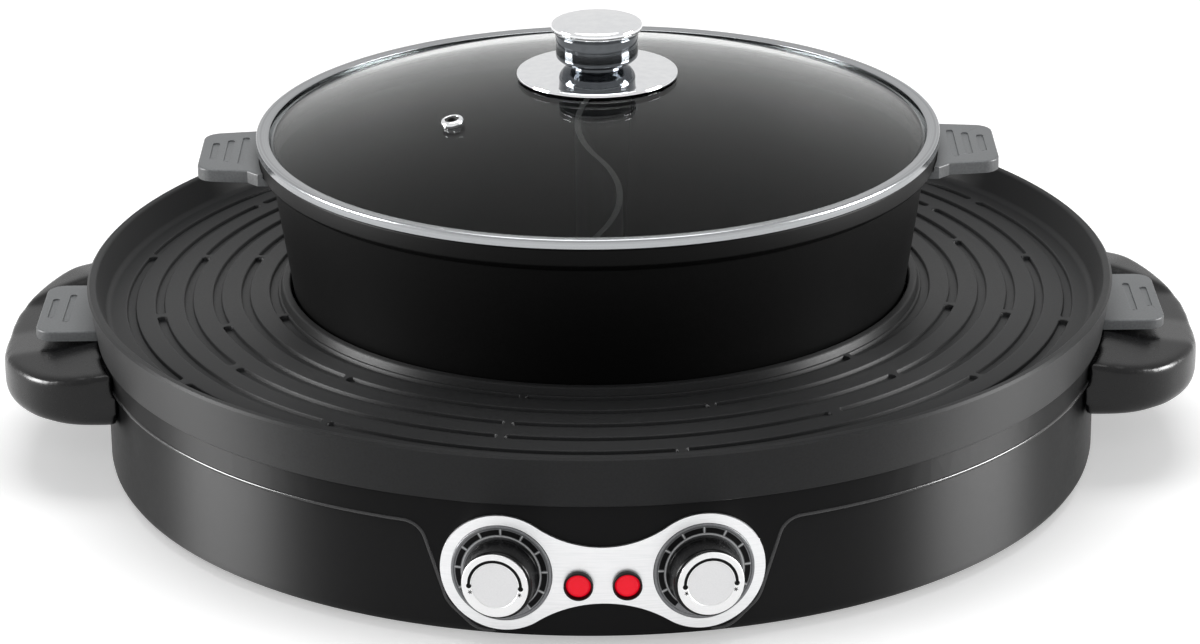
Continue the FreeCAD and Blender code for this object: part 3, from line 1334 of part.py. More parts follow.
def make_griddle_ear(side, sign):
    """Grey grip that slides over the griddle's lug and is screwed from below."""
    name = "griddle_ear_" + side
    low = "ear_low"
    blank = slab(name + "_blank", [
        ("%s * (skirt_radius - ear_root)" % sign, "-ear_half"),
        ("%s * ear_tip" % sign, "-ear_half"),
        ("%s * ear_tip" % sign, "ear_half"),
        ("%s * (skirt_radius - ear_root)" % sign, "ear_half")], low, "ear_thick")
    soften(blank, "ear_round", lambda e: upright(e) and abs(e.CenterOfMass.x) > size("skirt_radius"))
    soften(blank, "ear_edge", lambda e: abs(e.CenterOfMass.z - size("ear_top")) < 1e-6
           and e.BoundBox.ZLength < 1e-6 and abs(e.CenterOfMass.x) > size("skirt_radius"), "top_round")
    skirt = lathe(name + "_skirt", [
        ("0", "shoulder_low"),
        ("skirt_radius + seat_gap - rim_flare", "shoulder_top - rim_height"),
        ("rim_radius + seat_gap", "rim_top"),
        ("0", "rim_top")])
    far = "lug_tip + fit_gap"
    x_low = "skirt_radius - 2 * ear_root" if sign == "1" else "-(%s)" % far
    pocket = box(name + "_pocket", x_low, "%s - skirt_radius + 2 * ear_root" % far,
                 "-lug_half - fit_gap", "2 * (lug_half + fit_gap)",
                 "lug_low - skin_gap", "lug_thick + 2 * skin_gap")
    spots = [("%s * (ear_slot_reach - %d * ear_slot_pitch)" % (sign, i),
              "ear_slot_length + %d * ear_slot_growth" % i) for i in range(int(size("ear_slot_count")))]
    cutters = ear_slots(name, spots, "(ear_top - ear_slot_depth)", "ear_thick")
    screws = []
    for spot in ("-1", "1"):
        x = "%s * ear_screw_reach" % sign
        y = "%s * ear_screw_spread" % spot
        cutters.append(cylinder("%s_hole%s" % (name, spot), "ear_screw_radius + screw_fit",
                                "ear_low - overshoot", "overshoot + ear_thick - ear_skin", x, y))
        screws.append(screw_up("%s_screw%s" % (name, spot), x, y, "ear_low - ear_screw_head",
                               "ear_screw_head", "ear_screw_head_radius", "ear_screw_radius",
                               "ear_top - ear_skin - 2 * skin_gap"))
    keep(cut(name, blank, skirt, pocket, *cutters), name)
    return screws


# --- pot ------------------------------------------------------------------------------------------


def make_pot():
    """Cast pot: rounded bottom, flared wall, thick brim, and a lug under each ear."""
    inner_low = "pot_low_radius + pot_wall * pot_slope - pot_wall"
    body = lathe("pot_turned", [
        ("0", "pot_low"),
        ("pot_low_radius", "pot_low"),
        ("pot_high_radius", "pot_high"),
        ("brim_radius", "brim_low"),
        ("brim_radius", "brim_top"),
        ("brim_inner", "brim_top"),
        ("brim_inner", "brim_ledge"),
        ("pot_high_radius - pot_wall", "pot_high"),
        (inner_low, "pot_low + pot_wall"),
        ("0", "pot_low + pot_wall")])
    soften(body, "pot_corner", ring_at(size("pot_low_radius"), size("pot_low")), "outer_round")
    inner = size("pot_low_radius") + size("pot_wall") * (size("pot_slope") - 1)
    soften(body, "pot_corner - pot_wall", ring_at(inner, size("pot_low") + size("pot_wall")),
           "inner_round")
    pieces = [body]
    holes = []
    for side, sign in SIDES:
        x_low = "pot_high_radius" if sign == "1" else "-pot_lug_tip"
        pieces.append(box("pot_lug_" + side, x_low, "pot_lug_tip - pot_high_radius",
                          "-pot_lug_half", "2 * pot_lug_half", "pot_lug_low", "pot_lug_thick"))
        for spot in ("-1", "1"):
            holes.append(cylinder("pot_lug_hole_%s%s" % (side, spot),
                                  "ear_screw_radius + screw_fit", "pot_ear_low", "pot_ear_thick",
                                  "%s * pot_ear_screw_reach" % sign,
                                  "%s * ear_screw_spread" % spot))
    keep(cut("pot", fuse("pot_whole", *pieces), *holes), "pot_shell")


def make_divider():
    """S-shaped wall between the two halves: two arcs end to end, then straight to the wall."""
    bow = "(divider_chord ^ 2 / (8 * divider_bow) + divider_bow / 2)"
    half_turn = "(asin(divider_chord / 2 / %s) / 1 deg)" % bow
    run = "(pot_high_radius - divider_chord)"
    level = "pot_low + pot_wall + divider_gap"
    pieces = []
    for name, sign, start in (("back", "1", "0"), ("front", "-1", "180")):
        arc = doc.addObject("Part::Cut", "divider_arc_" + name)
        arc.Base = cylinder("divider_outer_" + name, bow + " + divider_thick / 2", level,
                            "pot_high - pot_low")
        arc.Tool = cylinder("divider_inner_" + name, bow + " - divider_thick / 2", level,
                            "pot_high - pot_low")
        for tube in (arc.Base, arc.Tool):
            bind(tube, Angle="2 * " + half_turn)
            place(tube, x="%s * (%s - divider_bow)" % (sign, bow), y="%s * divider_chord / 2" % sign,
                  z=level, yaw="180 + %s - %s" % (start, half_turn))
        pieces.append(arc)
        tail = doc.addObject("Part::Box", "divider_tail_" + name)
        bind(tail, Length="divider_thick", Width=run, Height="pot_high - pot_low")
        shift = "divider_thick / 2"
        place(tail, x="%s * (-%s * cos(%s))" % (sign, shift, half_turn),
              y="%s * (divider_chord + %s * sin(%s))" % (sign, shift, half_turn),
              z=level, yaw="%s - %s" % (start, half_turn))
        pieces.append(tail)
    inner_low = "pot_low_radius + pot_wall * pot_slope - pot_wall - divider_gap"
    space = lathe("divider_space", [
        ("0", level),
        (inner_low, level),
        ("pot_high_radius - pot_wall - divider_gap", "divider_top"),
        ("0", "divider_top")])
    soften(space, "pot_corner - pot_wall - divider_gap",
           lambda e: isinstance(e.Curve, Part.Circle) and e.CenterOfMass.z < size("drum_top"))
    keep(common("divider", fuse("divider_whole", *pieces), space), "pot_divider")


def make_pot_ear(side, sign):
    """Grey grip that slides over the pot's lug and is screwed from below."""
    name = "pot_ear_" + side
    low = "pot_ear_low"
    half_plan = [("pot_high_radius - pot_ear_root", "pot_ear_root_half"),
                 ("brim_radius - rim_edge", "pot_ear_root_half"),
                 ("pot_ear_shoulder", "pot_ear_half"),
                 ("pot_ear_tip", "pot_ear_half - pot_ear_tip_draft")]
    plan = [("%s * (%s)" % (sign, x), "-(%s)" % y) for x, y in half_plan]
    plan += [("%s * (%s)" % (sign, x), y) for x, y in reversed(half_plan)]
    blank = slab(name + "_blank", plan, low, "pot_ear_thick")
    soften(blank, "ear_round", lambda e: upright(e) and abs(e.CenterOfMass.x) > size("pot_ear_tip") - 1)
    soften(blank, "ear_edge", lambda e: abs(e.CenterOfMass.z - size("pot_ear_top")) < 1e-6
           and e.BoundBox.ZLength < 1e-6 and abs(e.CenterOfMass.x) > size("brim_radius") - 2,
           "top_round")
    pot_space = lathe(name + "_pot", [
        ("0", "pot_low"),
        ("pot_low_radius + seat_gap", "pot_low"),
        ("pot_high_radius + seat_gap", "pot_high"),
        ("brim_radius + seat_gap", "brim_low"),
        ("brim_radius + seat_gap", "brim_top"),
        ("0", "brim_top")])
    far = "pot_lug_tip + fit_gap"
    x_low = "pot_high_radius - 2 * pot_ear_root" if sign == "1" else "-(%s)" % far
    pocket = box(name + "_pocket", x_low, "%s - pot_high_radius + 2 * pot_ear_root" % far,
                 "-pot_lug_half - fit_gap", "2 * (pot_lug_half + fit_gap)",
                 "pot_lug_low - skin_gap", "pot_lug_thick + 2 * skin_gap")
    spots = [("%s * (pot_ear_slot_reach - %d * pot_ear_slot_pitch)" % (sign, i),
              "pot_ear_slot_length + %d * pot_ear_slot_growth" % i)
             for i in range(int(size("pot_ear_slot_count")))]
    cutters = ear_slots(name, spots, "(pot_ear_top - ear_slot_depth)", "pot_ear_thick")
    screws = []
    for spot in ("-1", "1"):
        x = "%s * pot_ear_screw_reach" % sign
        y = "%s * ear_screw_spread" % spot
        cutters.append(cylinder("%s_hole%s" % (name, spot), "ear_screw_radius + screw_fit",
                                "pot_ear_low - overshoot", "overshoot + pot_ear_thick - pot_ear_skin",
                                x, y))
        screws.append(screw_up("%s_screw%s" % (name, spot), x, y, "pot_ear_low - ear_screw_head",
                               "ear_screw_head", "ear_screw_head_radius", "ear_screw_radius",
                               "pot_ear_top - pot_ear_skin - 2 * skin_gap"))
    keep(cut(name, blank, pot_space, pocket, *cutters), name)
    return screws


# --- lid ------------------------------------------------------------------------------------------


def make_lid_glass():
    """Tempered dome with a flat edge, drilled for the knob's screw and the steam vent."""
    dome = doc.addObject("Part::Sphere", "glass_outer")
    bind(dome, Radius="glass_sphere", Placement__Base__z="glass_centre")
    hollow = doc.addObject("Part::Sphere", "glass_inner")
    bind(hollow, Radius="glass_sphere - glass_thick", Placement__Base__z="glass_centre")
    bound = cylinder("glass_bound", "dome_radius", "glass_low", "2 * dome_rise")
    edge = cylinder("glass_edge", "glass_edge_radius", "glass_low", "glass_thick")
    whole = fuse("glass_whole", common("glass_cap", dome, bound), edge)
    screw_hole = cylinder("glass_screw_hole", "lid_screw_radius + 2 * hole_play", "glass_centre",
                          "2 * glass_sphere")
    vent_hole = doc.addObject("Part::Cylinder", "glass_vent_hole")
    bind(vent_hole, Radius="vent_barrel_radius + skin_gap", Height="2 * overshoot")
    on_dome(vent_hole, "-overshoot")
    keep(cut("glass", whole, hollow, screw_hole, vent_hole), "lid_glass")


def on_dome(thing, out):
    """Stand a piece made along +Z out of the glass, square to it, at the vent's place."""
    reach = "sqrt(vent_x ^ 2 + vent_y ^ 2)"
    tilt = "asin(%s / glass_sphere)" % reach
    share = "(glass_sphere + %s) / glass_sphere" % out
    return place(thing, x="vent_x * " + share, y="vent_y * " + share,
                 z="glass_centre + (glass_sphere + %s) * cos(%s)" % (out, tilt),
                 yaw="atan2(vent_y; vent_x)", pitch=tilt)


def make_lid_rim():
    """Steel rim rolled round the glass, with a lip that centres the lid in the pot."""
    keep(lathe("rim", [
        ("lid_lip_radius - lid_lip_sheet", "lid_lip_low"),
        ("lid_lip_radius", "lid_lip_low"),
        ("lid_lip_radius", "lid_low"),
        ("lid_radius", "lid_low"),
        ("lid_radius", "lid_rim_top - lid_rim_edge"),
        ("lid_radius - lid_rim_edge", "lid_rim_top"),
        ("lid_rim_inner", "lid_rim_inner_level"),
        ("lid_rim_inner", "glass_low + glass_thick + skin_gap"),
        ("glass_edge_radius + fit_gap", "glass_low + glass_thick + skin_gap"),
        ("glass_edge_radius + fit_gap", "lid_low + lid_sheet"),
        ("lid_lip_radius - lid_lip_sheet", "lid_low + lid_sheet")]), "lid_rim")


def glass_level(radius):
    """Height of the dome's outside at a radius."""
    return "(glass_centre + sqrt(glass_sphere ^ 2 - (%s) ^ 2))" % radius


def make_lid_knob():
    """Chrome flange, barrel and cap, drawn down onto the glass by one screw."""
    bore = "lid_screw_radius + screw_fit"
    edge = glass_level("flange_radius")
    sphere_top = "glass_top + fit_gap"
    keep(lathe("flange", [
        ("lid_screw_radius + hole_play", sphere_top),
        ("flange_seat_radius", sphere_top),
        ("flange_radius - 3 * flange_lip", "%s + flange_lip" % edge),
        ("flange_radius - flange_lip", "%s + skin_gap" % glass_level("flange_radius - flange_lip")),
        ("flange_radius", "%s + 2 * flange_lip / 3" % edge),
        ("flange_radius - flange_lip / 4", "%s + flange_edge" % edge),
        ("flange_radius - 2 * flange_lip", "%s + flange_edge + flange_lip / 4" % edge),
        ("flange_neck_radius", "flange_neck_level"),
        ("lid_screw_radius + hole_play", "flange_neck_level")]), "lid_flange")
    keep(lathe("lid_barrel", [
        (bore, "flange_neck_level"),
        ("knob_neck_radius", "flange_neck_level"),
        ("knob_neck_radius", "knob_neck_top"),
        ("knob_belly_radius", "knob_belly_level"),
        ("knob_barrel_radius - 0.8", "knob_barrel_level - 1"),
        ("knob_barrel_radius", "knob_barrel_level + 0.6"),
        ("knob_barrel_radius", "knob_barrel_top"),
        (bore, "knob_barrel_top")]), "lid_knob")
    cap_low = "knob_barrel_top"
    keep(lathe("cap", [
        ("0", cap_low),
        ("cap_radius - 1.6", cap_low),
        ("cap_radius", cap_low + " + 1.2"),
        ("cap_radius", cap_low + " + cap_edge"),
        ("cap_radius - 1", "cap_top - 1.4"),
        ("cap_radius / 2", "cap_top - 0.4"),
        ("0", "cap_top")]), "lid_knob_cap")
    washer_top = "washer_top"
    keep(lathe("washer", [
        (bore + " + 0.2", washer_top + " - washer_thick"),
        ("washer_radius", washer_top + " - washer_thick"),
        ("washer_radius", washer_top),
        (bore + " + 0.2", washer_top)]), "lid_washer")
    keep(screw_up("lid_screw", "0", "0", washer_top + " - washer_thick - lid_screw_head",
                  "lid_screw_head", "lid_screw_head_radius", "lid_screw_radius",
                  "lid_screw_top"), "lid_screw")


def make_vent():
    """Steam vent: a bright eyelet through the glass, with a dark grommet inside it."""
    eyelet = lathe("eyelet", [
        ("grommet_radius + screw_fit", "-vent_tail"),
        ("vent_barrel_radius", "-vent_tail"),
        ("vent_barrel_radius", "fit_gap"),
        ("vent_flange_radius", "fit_gap"),
        ("vent_flange_radius", "vent_height - vent_edge"),
        ("vent_flange_radius - vent_edge", "vent_height"),
        ("grommet_radius + screw_fit", "vent_height")])
    keep(on_dome(eyelet, "0"), "vent_eyelet")
    grommet = lathe("grommet", [
        ("vent_bore_radius", "-vent_tail"),
        ("grommet_radius", "-vent_tail"),
        ("grommet_radius", "vent_height - grommet_drop"),
        ("vent_bore_radius", "vent_height - grommet_drop")])
    keep(on_dome(grommet, "0"), "vent_grommet")


# --- the whole appliance --------------------------------------------------------------------------

make_drum()
make_shoulder()
make_cover()
make_feet()
make_reflector()
make_heaters()
make_fascia()
keep(group("nuts", *[make_control(side, sign) for side, sign in SIDES]), "shaft_nuts")
keep(group("bulbs", *[make_lamp(side, sign) for side, sign in SIDES]), "lamp_bulbs")
handle_screws = []
for side, sign in SIDES:
    handle_screws += make_handle(side, sign)
keep(group("handle_screw_set", *handle_screws), "handle_screws")
make_inlet()
make_wiring()
make_griddle()
griddle_screws = []
for side, sign in SIDES:
    griddle_screws += make_griddle_ear(side, sign)
keep(group("griddle_screw_set", *griddle_screws), "griddle_ear_screws")
make_pot()
make_divider()
pot_screws = []
for side, sign in SIDES:
    pot_screws += make_pot_ear(side, sign)
keep(group("pot_screw_set", *pot_screws), "pot_ear_screws")
make_lid_glass()
make_lid_rim()
make_lid_knob()
make_vent()

doc.recompute()
failed = [o.Name for o in doc.Objects if "Invalid" in o.State or "Error" in o.State]
if failed:
    raise RuntimeError("features that failed: " + ", ".join(failed))
os.makedirs("parts", exist_ok=True)
for thing in nodes:
    shape = thing.Shape
    if shape.isNull() or not shape.isValid() or not shape.Solids:
        raise RuntimeError("no sound solid in " + thing.Label)
for thing in nodes:
    shape = thing.Shape
    shape.exportStep("parts/" + thing.Label + ".step")
    extent = shape.BoundBox
    print("%-20s %2d solids  %9.1f mm3  x %.1f..%.1f  y %.1f..%.1f  z %.1f..%.1f" % (
        thing.Label, len(shape.Solids), shape.Volume, extent.XMin, extent.XMax,
        extent.YMin, extent.YMax, extent.ZMin, extent.ZMax))
print(len(nodes), "sub-parts")
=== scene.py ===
# %% [markdown]
# # An electric hot pot with a ring griddle, dressed in Blender
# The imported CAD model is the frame: it says where each piece is and how it moves. Each cell
# below gives one piece or one finish the softness, the gloss and the fine detail that a plain
# solid lacks. Lengths are written in millimetres and turned to metres by one factor. Only the
# tolerances of mesh calls and the stage are written in metres.

# %% Load the frame
import json
import math

import bmesh
import bpy
from mathutils import Matrix, Vector


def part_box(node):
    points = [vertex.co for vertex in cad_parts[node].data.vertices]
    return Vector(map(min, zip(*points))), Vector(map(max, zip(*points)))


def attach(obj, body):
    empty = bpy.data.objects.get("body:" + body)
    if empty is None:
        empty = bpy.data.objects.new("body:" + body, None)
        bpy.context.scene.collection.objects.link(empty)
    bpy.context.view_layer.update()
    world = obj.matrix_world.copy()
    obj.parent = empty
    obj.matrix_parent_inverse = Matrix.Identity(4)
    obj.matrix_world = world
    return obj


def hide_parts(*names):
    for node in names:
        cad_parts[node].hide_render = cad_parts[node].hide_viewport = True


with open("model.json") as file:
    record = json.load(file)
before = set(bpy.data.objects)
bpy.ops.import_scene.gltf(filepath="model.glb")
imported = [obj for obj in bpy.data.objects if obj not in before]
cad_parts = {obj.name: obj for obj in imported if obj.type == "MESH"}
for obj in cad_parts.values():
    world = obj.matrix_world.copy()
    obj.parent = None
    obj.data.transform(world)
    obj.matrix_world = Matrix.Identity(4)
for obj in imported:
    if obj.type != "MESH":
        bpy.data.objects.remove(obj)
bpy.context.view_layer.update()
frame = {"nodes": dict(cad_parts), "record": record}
MM = 0.001
RECORD = frame["record"]
BODY_OF = {name: body for body, names in RECORD["behaviour"]["bodies"].items() for name in names}
SLOT_OF = {row["node"]: row["material_slot"] for row in RECORD["subparts"]}

# %% [markdown]
# Most places come from the frame. A piece's lowest and highest corners give its radius and its
# levels, so a lid or a knob modelled here lands on the CAD piece that it stands for.

# %% Measures of the frame, in millimetres
def reach(name):
    """How far a CAD node goes along +X."""
    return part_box(name)[1].x / MM


def levels(name):
    """The lowest and highest level of a CAD node."""
    low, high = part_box(name)
    return low.z / MM, high.z / MM


GROUND_GAP, DRUM_TOP = levels("base_drum")
BASE_RADIUS = reach("base_drum")
SHOULDER_OUTSIDE = reach("shoulder_ring")
PANEL_OFFSET = 0.6
PANEL_RADIUS = SHOULDER_OUTSIDE + PANEL_OFFSET
print("base radius", round(BASE_RADIUS, 2), "panel radius", round(PANEL_RADIUS, 2))

# %% [markdown]
# ## Finishes
# A material is a small graph of nodes. One function adds a node, sets its options and makes its
# links, and another turns a written sRGB colour into the linear colour that Blender works in.

# %% Two helpers for materials
def srgb(text):
    """An opaque colour written as #rrggbb, in linear light."""
    shares = [int(text[i:i + 2], 16) / 255 for i in (1, 3, 5)]
    return tuple(s / 12.92 if s <= 0.04045 else ((s + 0.055) / 1.055) ** 2.4
                 for s in shares) + (1.0,)


def node(tree, kind, inputs=None, **settings):
    """Add a node; an input that is another node's output is linked, and a value is set."""
    made = tree.nodes.new(kind)
    for option, value in settings.items():
        setattr(made, option, value)
    for name, value in (inputs or {}).items():
        if isinstance(value, bpy.types.NodeSocket):
            tree.links.new(value, made.inputs[name])
        else:
            made.inputs[name].default_value = value
    return made


print("black enamel is", [round(share, 4) for share in srgb("#0b0b0c")])

# %% [markdown]
# Nothing real has one flat colour. Every finish here drifts a little between two colours and
# two roughnesses, and has a shallow bump. The noise that drives them has a real grain size. It
# can be stretched, as brushing is, or follow the distance from the axis, as turning does. The
# noise seldom leaves its middle range, so that range is spread over both drifts. A streaked
# finish stretches its highlights across hoops round the Z axis: on a wall they stand upright.

# %% The function that makes a finish
NOISE_LOW, NOISE_HIGH = 0.3, 0.7
BUMP_STRENGTH = 0.6
QUARTER_TURN = 0.25


def finish(name, dark, light, grain, rough, metallic=0.0, ior=1.5, bump=0.0, stretch=(1, 1, 1),
           concentric=False, detail=3.0, specular=0.5, streak=0.0):
    """A Principled material; grain and bump are in millimetres, rough is a low and a high."""
    material = bpy.data.materials.new(name)
    material.use_nodes = True
    tree = material.node_tree
    tree.nodes.clear()
    spot = node(tree, "ShaderNodeTexCoord").outputs["Object"]
    if concentric:
        parts = node(tree, "ShaderNodeSeparateXYZ", {"Vector": spot})
        flat = node(tree, "ShaderNodeCombineXYZ", {"X": parts.outputs["X"], "Y": parts.outputs["Y"]})
        radius = node(tree, "ShaderNodeVectorMath", {0: flat.outputs["Vector"]}, operation="LENGTH")
        spot = node(tree, "ShaderNodeCombineXYZ",
                    {"X": radius.outputs["Value"], "Z": parts.outputs["Z"]}).outputs["Vector"]
    spot = node(tree, "ShaderNodeMapping", {"Vector": spot, "Scale": stretch}).outputs["Vector"]
    noise = node(tree, "ShaderNodeTexNoise",
                 {"Vector": spot, "Scale": 1 / (grain * MM), "Detail": detail}).outputs["Fac"]
    ramp = node(tree, "ShaderNodeValToRGB", {"Fac": noise})
    ramp.color_ramp.elements[0].position = NOISE_LOW
    ramp.color_ramp.elements[1].position = NOISE_HIGH
    ramp.color_ramp.elements[0].color = srgb(dark)
    ramp.color_ramp.elements[1].color = srgb(light)
    roughness = node(tree, "ShaderNodeMapRange",
                     {"Value": noise, "From Min": NOISE_LOW, "From Max": NOISE_HIGH,
                      "To Min": rough[0], "To Max": rough[1]})
    shader = node(tree, "ShaderNodeBsdfPrincipled",
                  {"Base Color": ramp.outputs["Color"], "Roughness": roughness.outputs["Result"],
                   "Metallic": metallic, "IOR": ior, "Specular IOR Level": specular,
                   "Anisotropic": streak, "Anisotropic Rotation": QUARTER_TURN})
    if streak:
        tangent = node(tree, "ShaderNodeTangent", direction_type="RADIAL", axis="Z")
        tree.links.new(tangent.outputs["Tangent"], shader.inputs["Tangent"])
    if bump:
        dent = node(tree, "ShaderNodeBump", {"Height": noise, "Strength": BUMP_STRENGTH,
                                             "Distance": bump * MM})
        tree.links.new(dent.outputs["Normal"], shader.inputs["Normal"])
    node(tree, "ShaderNodeOutputMaterial", {"Surface": shader.outputs["BSDF"]})
    material["shader"] = shader.name
    return material


def shader_of(material):
    """The Principled node of a finish, for the few settings that only one finish needs."""
    return material.node_tree.nodes[material["shader"]]


FINISHES = {}
print("a finish is a colour drift, a roughness drift and a bump")

# %% [markdown]
# The base's drum is pressed steel with a baked black enamel of a satin sheen. Enamel flows
# before it sets, so it has a slow, shallow waviness, like orange peel 3 mm across. The ring and
# its apron are black plastic with the same sheen. The side handles and knobs come from a
# polished mould and are glossier. Plastic has a finer grain than enamel.

# %% Black enamel and black plastic
FINISHES["black_enamel"] = finish("baked_enamel_black", "#070708", "#0c0c0d", 3.0, (0.5, 0.54),
                                  bump=0.002, specular=0.2, streak=0.95)
FINISHES["black_gloss_plastic"] = finish("moulded_plastic_black", "#060607", "#0b0b0c", 1.2,
                                         (0.26, 0.34), bump=0.001, specular=0.2)
RING_BLACK = finish("moulded_ring_black", "#060607", "#0a0a0b", 1.2, (0.5, 0.54), bump=0.002,
                    specular=0.16, streak=0.95)
HANDLE_BLACK = finish("moulded_handle_black", "#060607", "#0a0a0b", 1.2, (0.24, 0.28),
                      specular=0.3)
# The bead's grey, lighter than the ring's black, is a painted highlight.
BEAD_PAINTED_HIGHLIGHT = finish("moulded_bead_painted_highlight", "#202021", "#29292a", 1.2, (0.18, 0.24), bump=0.001)
FINISHES["black_rubber"] = finish("moulded_rubber_black", "#121212", "#1c1c1c", 0.8, (0.7, 0.85),
                                  bump=0.03)
print(sorted(FINISHES))

# %% [markdown]
# The griddle and the pot are die-cast aluminium with a sprayed nonstick coating. The spray
# leaves fine specks, about half a millimetre across; they are drawn a little coarser, so that
# they show. The griddle's coat is dark grey and satin, and the pot's is black and flatter.

# %% Nonstick coatings
FINISHES["nonstick_griddle"] = finish("nonstick_coat_grey", "#0e0e0f", "#1b1c1d", 0.9,
                                      (0.44, 0.52), bump=0.015, detail=5.0, specular=0.24,
                                      streak=0.8)
FINISHES["nonstick_pot"] = finish("nonstick_coat_black", "#030303", "#080808", 0.9, (0.44, 0.5),
                                  bump=0.001, detail=5.0, specular=0.1)
FINISHES["grey_grip"] = finish("moulded_bakelite_grey", "#66686a", "#767879", 1.0, (0.38, 0.48),
                               bump=0.01, specular=0.35)
print(len(FINISHES), "finishes")

# %% [markdown]
# Bright metals. The fascia is aluminium sheet with a satin face, brushed along its length. The
# dials behind the knobs are anodised grey. The lid's rim is polished stainless steel, and its
# knob is chromed: chrome is nearly smooth, and what it shows is its surroundings.

# %% Bright metals
CHROME_ROUGH = (0.03, 0.06)
FINISHES["silver_fascia"] = finish("brushed_aluminium", "#dcddde", "#e8e8e9", 0.5, (0.3, 0.42),
                                   metallic=1.0, bump=0.003, stretch=(0.04, 0.04, 1))
FINISHES["grey_dial"] = finish("anodised_aluminium_grey", "#6d6e70", "#808183", 0.6, (0.38, 0.5),
                               metallic=0.8, bump=0.004)
FINISHES["lid_steel"] = finish("polished_stainless_steel", "#999b9d", "#b0b2b4", 0.8,
                               (0.14, 0.24), metallic=1.0, bump=0.002, concentric=True)
FINISHES["lid_chrome"] = finish("chrome_plate", "#eff0f2", "#f6f7f8", 4.0, CHROME_ROUGH,
                                metallic=1.0, bump=0.001)
# The barrel's chrome is the same chrome with a darker colour: a painted dark reflection.
BARREL_CHROME_PAINTED_DARK = finish("chrome_plate_painted_dark_reflection", "#55585b", "#5e6164", 4.0, (0.05, 0.09), metallic=1.0,
                     bump=0.001)
print("chrome roughness is", CHROME_ROUGH[0], "to", CHROME_ROUGH[1])

# %% [markdown]
# Inside the base: zinc-plated sheet with its faint spangle, a bright pressed reflector, a
# heater tube that heat has darkened, and a cast hot plate. They show when the griddle and the
# pot are lifted out.

# %% Metals inside the base
FINISHES["zinc_steel"] = finish("zinc_plated_sheet", "#8e9092", "#a5a7a9", 6.0, (0.3, 0.45),
                                metallic=1.0, bump=0.005)
FINISHES["bright_reflector"] = finish("pressed_bright_sheet", "#a9abac", "#c2c4c5", 0.8,
                                      (0.22, 0.32), metallic=1.0, bump=0.004, concentric=True)
FINISHES["screw_steel"] = finish("plated_screw_steel", "#8b8d8f", "#a0a2a4", 1.0, (0.28, 0.4),
                                 metallic=1.0)
FINISHES["heater_tube"] = finish("heat_darkened_tube", "#2a2420", "#4a403a", 5.0, (0.4, 0.6),
                                 metallic=0.9, bump=0.02)
FINISHES["cast_plate"] = finish("cast_aluminium_plate", "#77797b", "#8f9193", 0.7, (0.4, 0.55),
                                metallic=0.9, bump=0.02, concentric=True)
FINISHES["brass_pin"] = finish("turned_brass", "#a8873f", "#c09c4d", 0.5, (0.2, 0.32),
                               metallic=1.0)
print(len(FINISHES), "finishes")

# %% [markdown]
# Small electrical parts, the lamps' lenses and the lid's glass. A lens is dyed red plastic that
# glows a little. The lid is clear tempered glass, and clear glass is best left plain: what makes
# it read as glass is its edge, its reflections and what lies behind it. Its index of refraction
# is set far below the 1.5 of real glass, to keep its gloss from hiding the pot's inside.

# %% Electrical parts, lens and glass
LENS_GLOW = 0.35
GLASS_INDEX = 1.16
FINISHES["white_block"] = finish("ceramic_white", "#d9d6cd", "#e6e3da", 1.0, (0.35, 0.5),
                                 bump=0.01)
FINISHES["wire_sleeve"] = finish("woven_glass_sleeve", "#cfcabb", "#e2ddce", 0.6, (0.6, 0.8),
                                 bump=0.05)
FINISHES["bulb_glass"] = finish("neon_bulb_glass", "#e7c9b8", "#f2d9c9", 2.0, (0.08, 0.15))
FINISHES["red_lens"] = finish("dyed_lens_red", "#d80c22", "#ea1730", 1.5, (0.12, 0.2),
                              specular=0.2)
shader_of(FINISHES["red_lens"]).inputs["Emission Color"].default_value = srgb("#ff1028")
shader_of(FINISHES["red_lens"]).inputs["Emission Strength"].default_value = LENS_GLOW
FINISHES["lid_glass"] = finish("tempered_glass", "#f4f7f6", "#fafcfb", 40.0, (0.0, 0.01),
                               ior=GLASS_INDEX)
shader_of(FINISHES["lid_glass"]).inputs["Transmission Weight"].default_value = 1.0
missing = sorted(set(SLOT_OF.values()) - set(FINISHES))
print("slots without a finish:", missing)

# %% [markdown]
# ## The way pieces are made
# Almost everything here was once turned: a drum, a ring, a lid or a knob is one profile spun
# round an axis. A profile is written as corners of a radius and a level, and a third number
# rounds that corner. The rounding is a bevel of the spun ring of edges. Points closer than WELD
# become one, and RING_TOLERANCE is how near a point has to be to belong to a corner's ring.

# %% Turned shapes
WELD = 1e-6
RING_TOLERANCE = 2e-5


def turned(corners, steps=192, rounding_segments=4):
    """Spin a closed profile of (radius, level[, rounding]) corners round the Z axis."""
    shape = bmesh.new()
    line = [shape.verts.new((c[0] * MM, 0, c[1] * MM)) for c in corners]
    edges = [shape.edges.new(pair) for pair in zip(line, line[1:])]
    if corners[0][0] > 0 or corners[-1][0] > 0:
        edges.append(shape.edges.new((line[-1], line[0])))
    bmesh.ops.spin(shape, geom=line + edges, cent=(0, 0, 0), axis=(0, 0, 1), angle=math.tau,
                   steps=steps, use_merge=True)
    bmesh.ops.remove_doubles(shape, verts=shape.verts, dist=WELD)
    bmesh.ops.recalc_face_normals(shape, faces=shape.faces)
    for corner in corners:
        if len(corner) == 3:
            bmesh.ops.bevel(shape, geom=ring_edges(shape, *corner[:2]), offset=corner[2] * MM,
                            offset_type="OFFSET", affect="EDGES", segments=rounding_segments,
                            profile=0.5, material=-1, clamp_overlap=True)
    return shape


def ring_edges(shape, radius, level):
    """The ring of edges at a radius and a level."""
    def on_ring(vertex):
        return (abs(math.hypot(vertex.co.x, vertex.co.y) - radius * MM) < RING_TOLERANCE
                and abs(vertex.co.z - level * MM) < RING_TOLERANCE)
    return [edge for edge in shape.edges if all(on_ring(vertex) for vertex in edge.verts)]


trial = turned([(0, 0), (10, 0, 1), (10, 5, 1), (0, 5)], steps=24)
print("a rounded disc has", len(trial.faces), "faces")
trial.free()

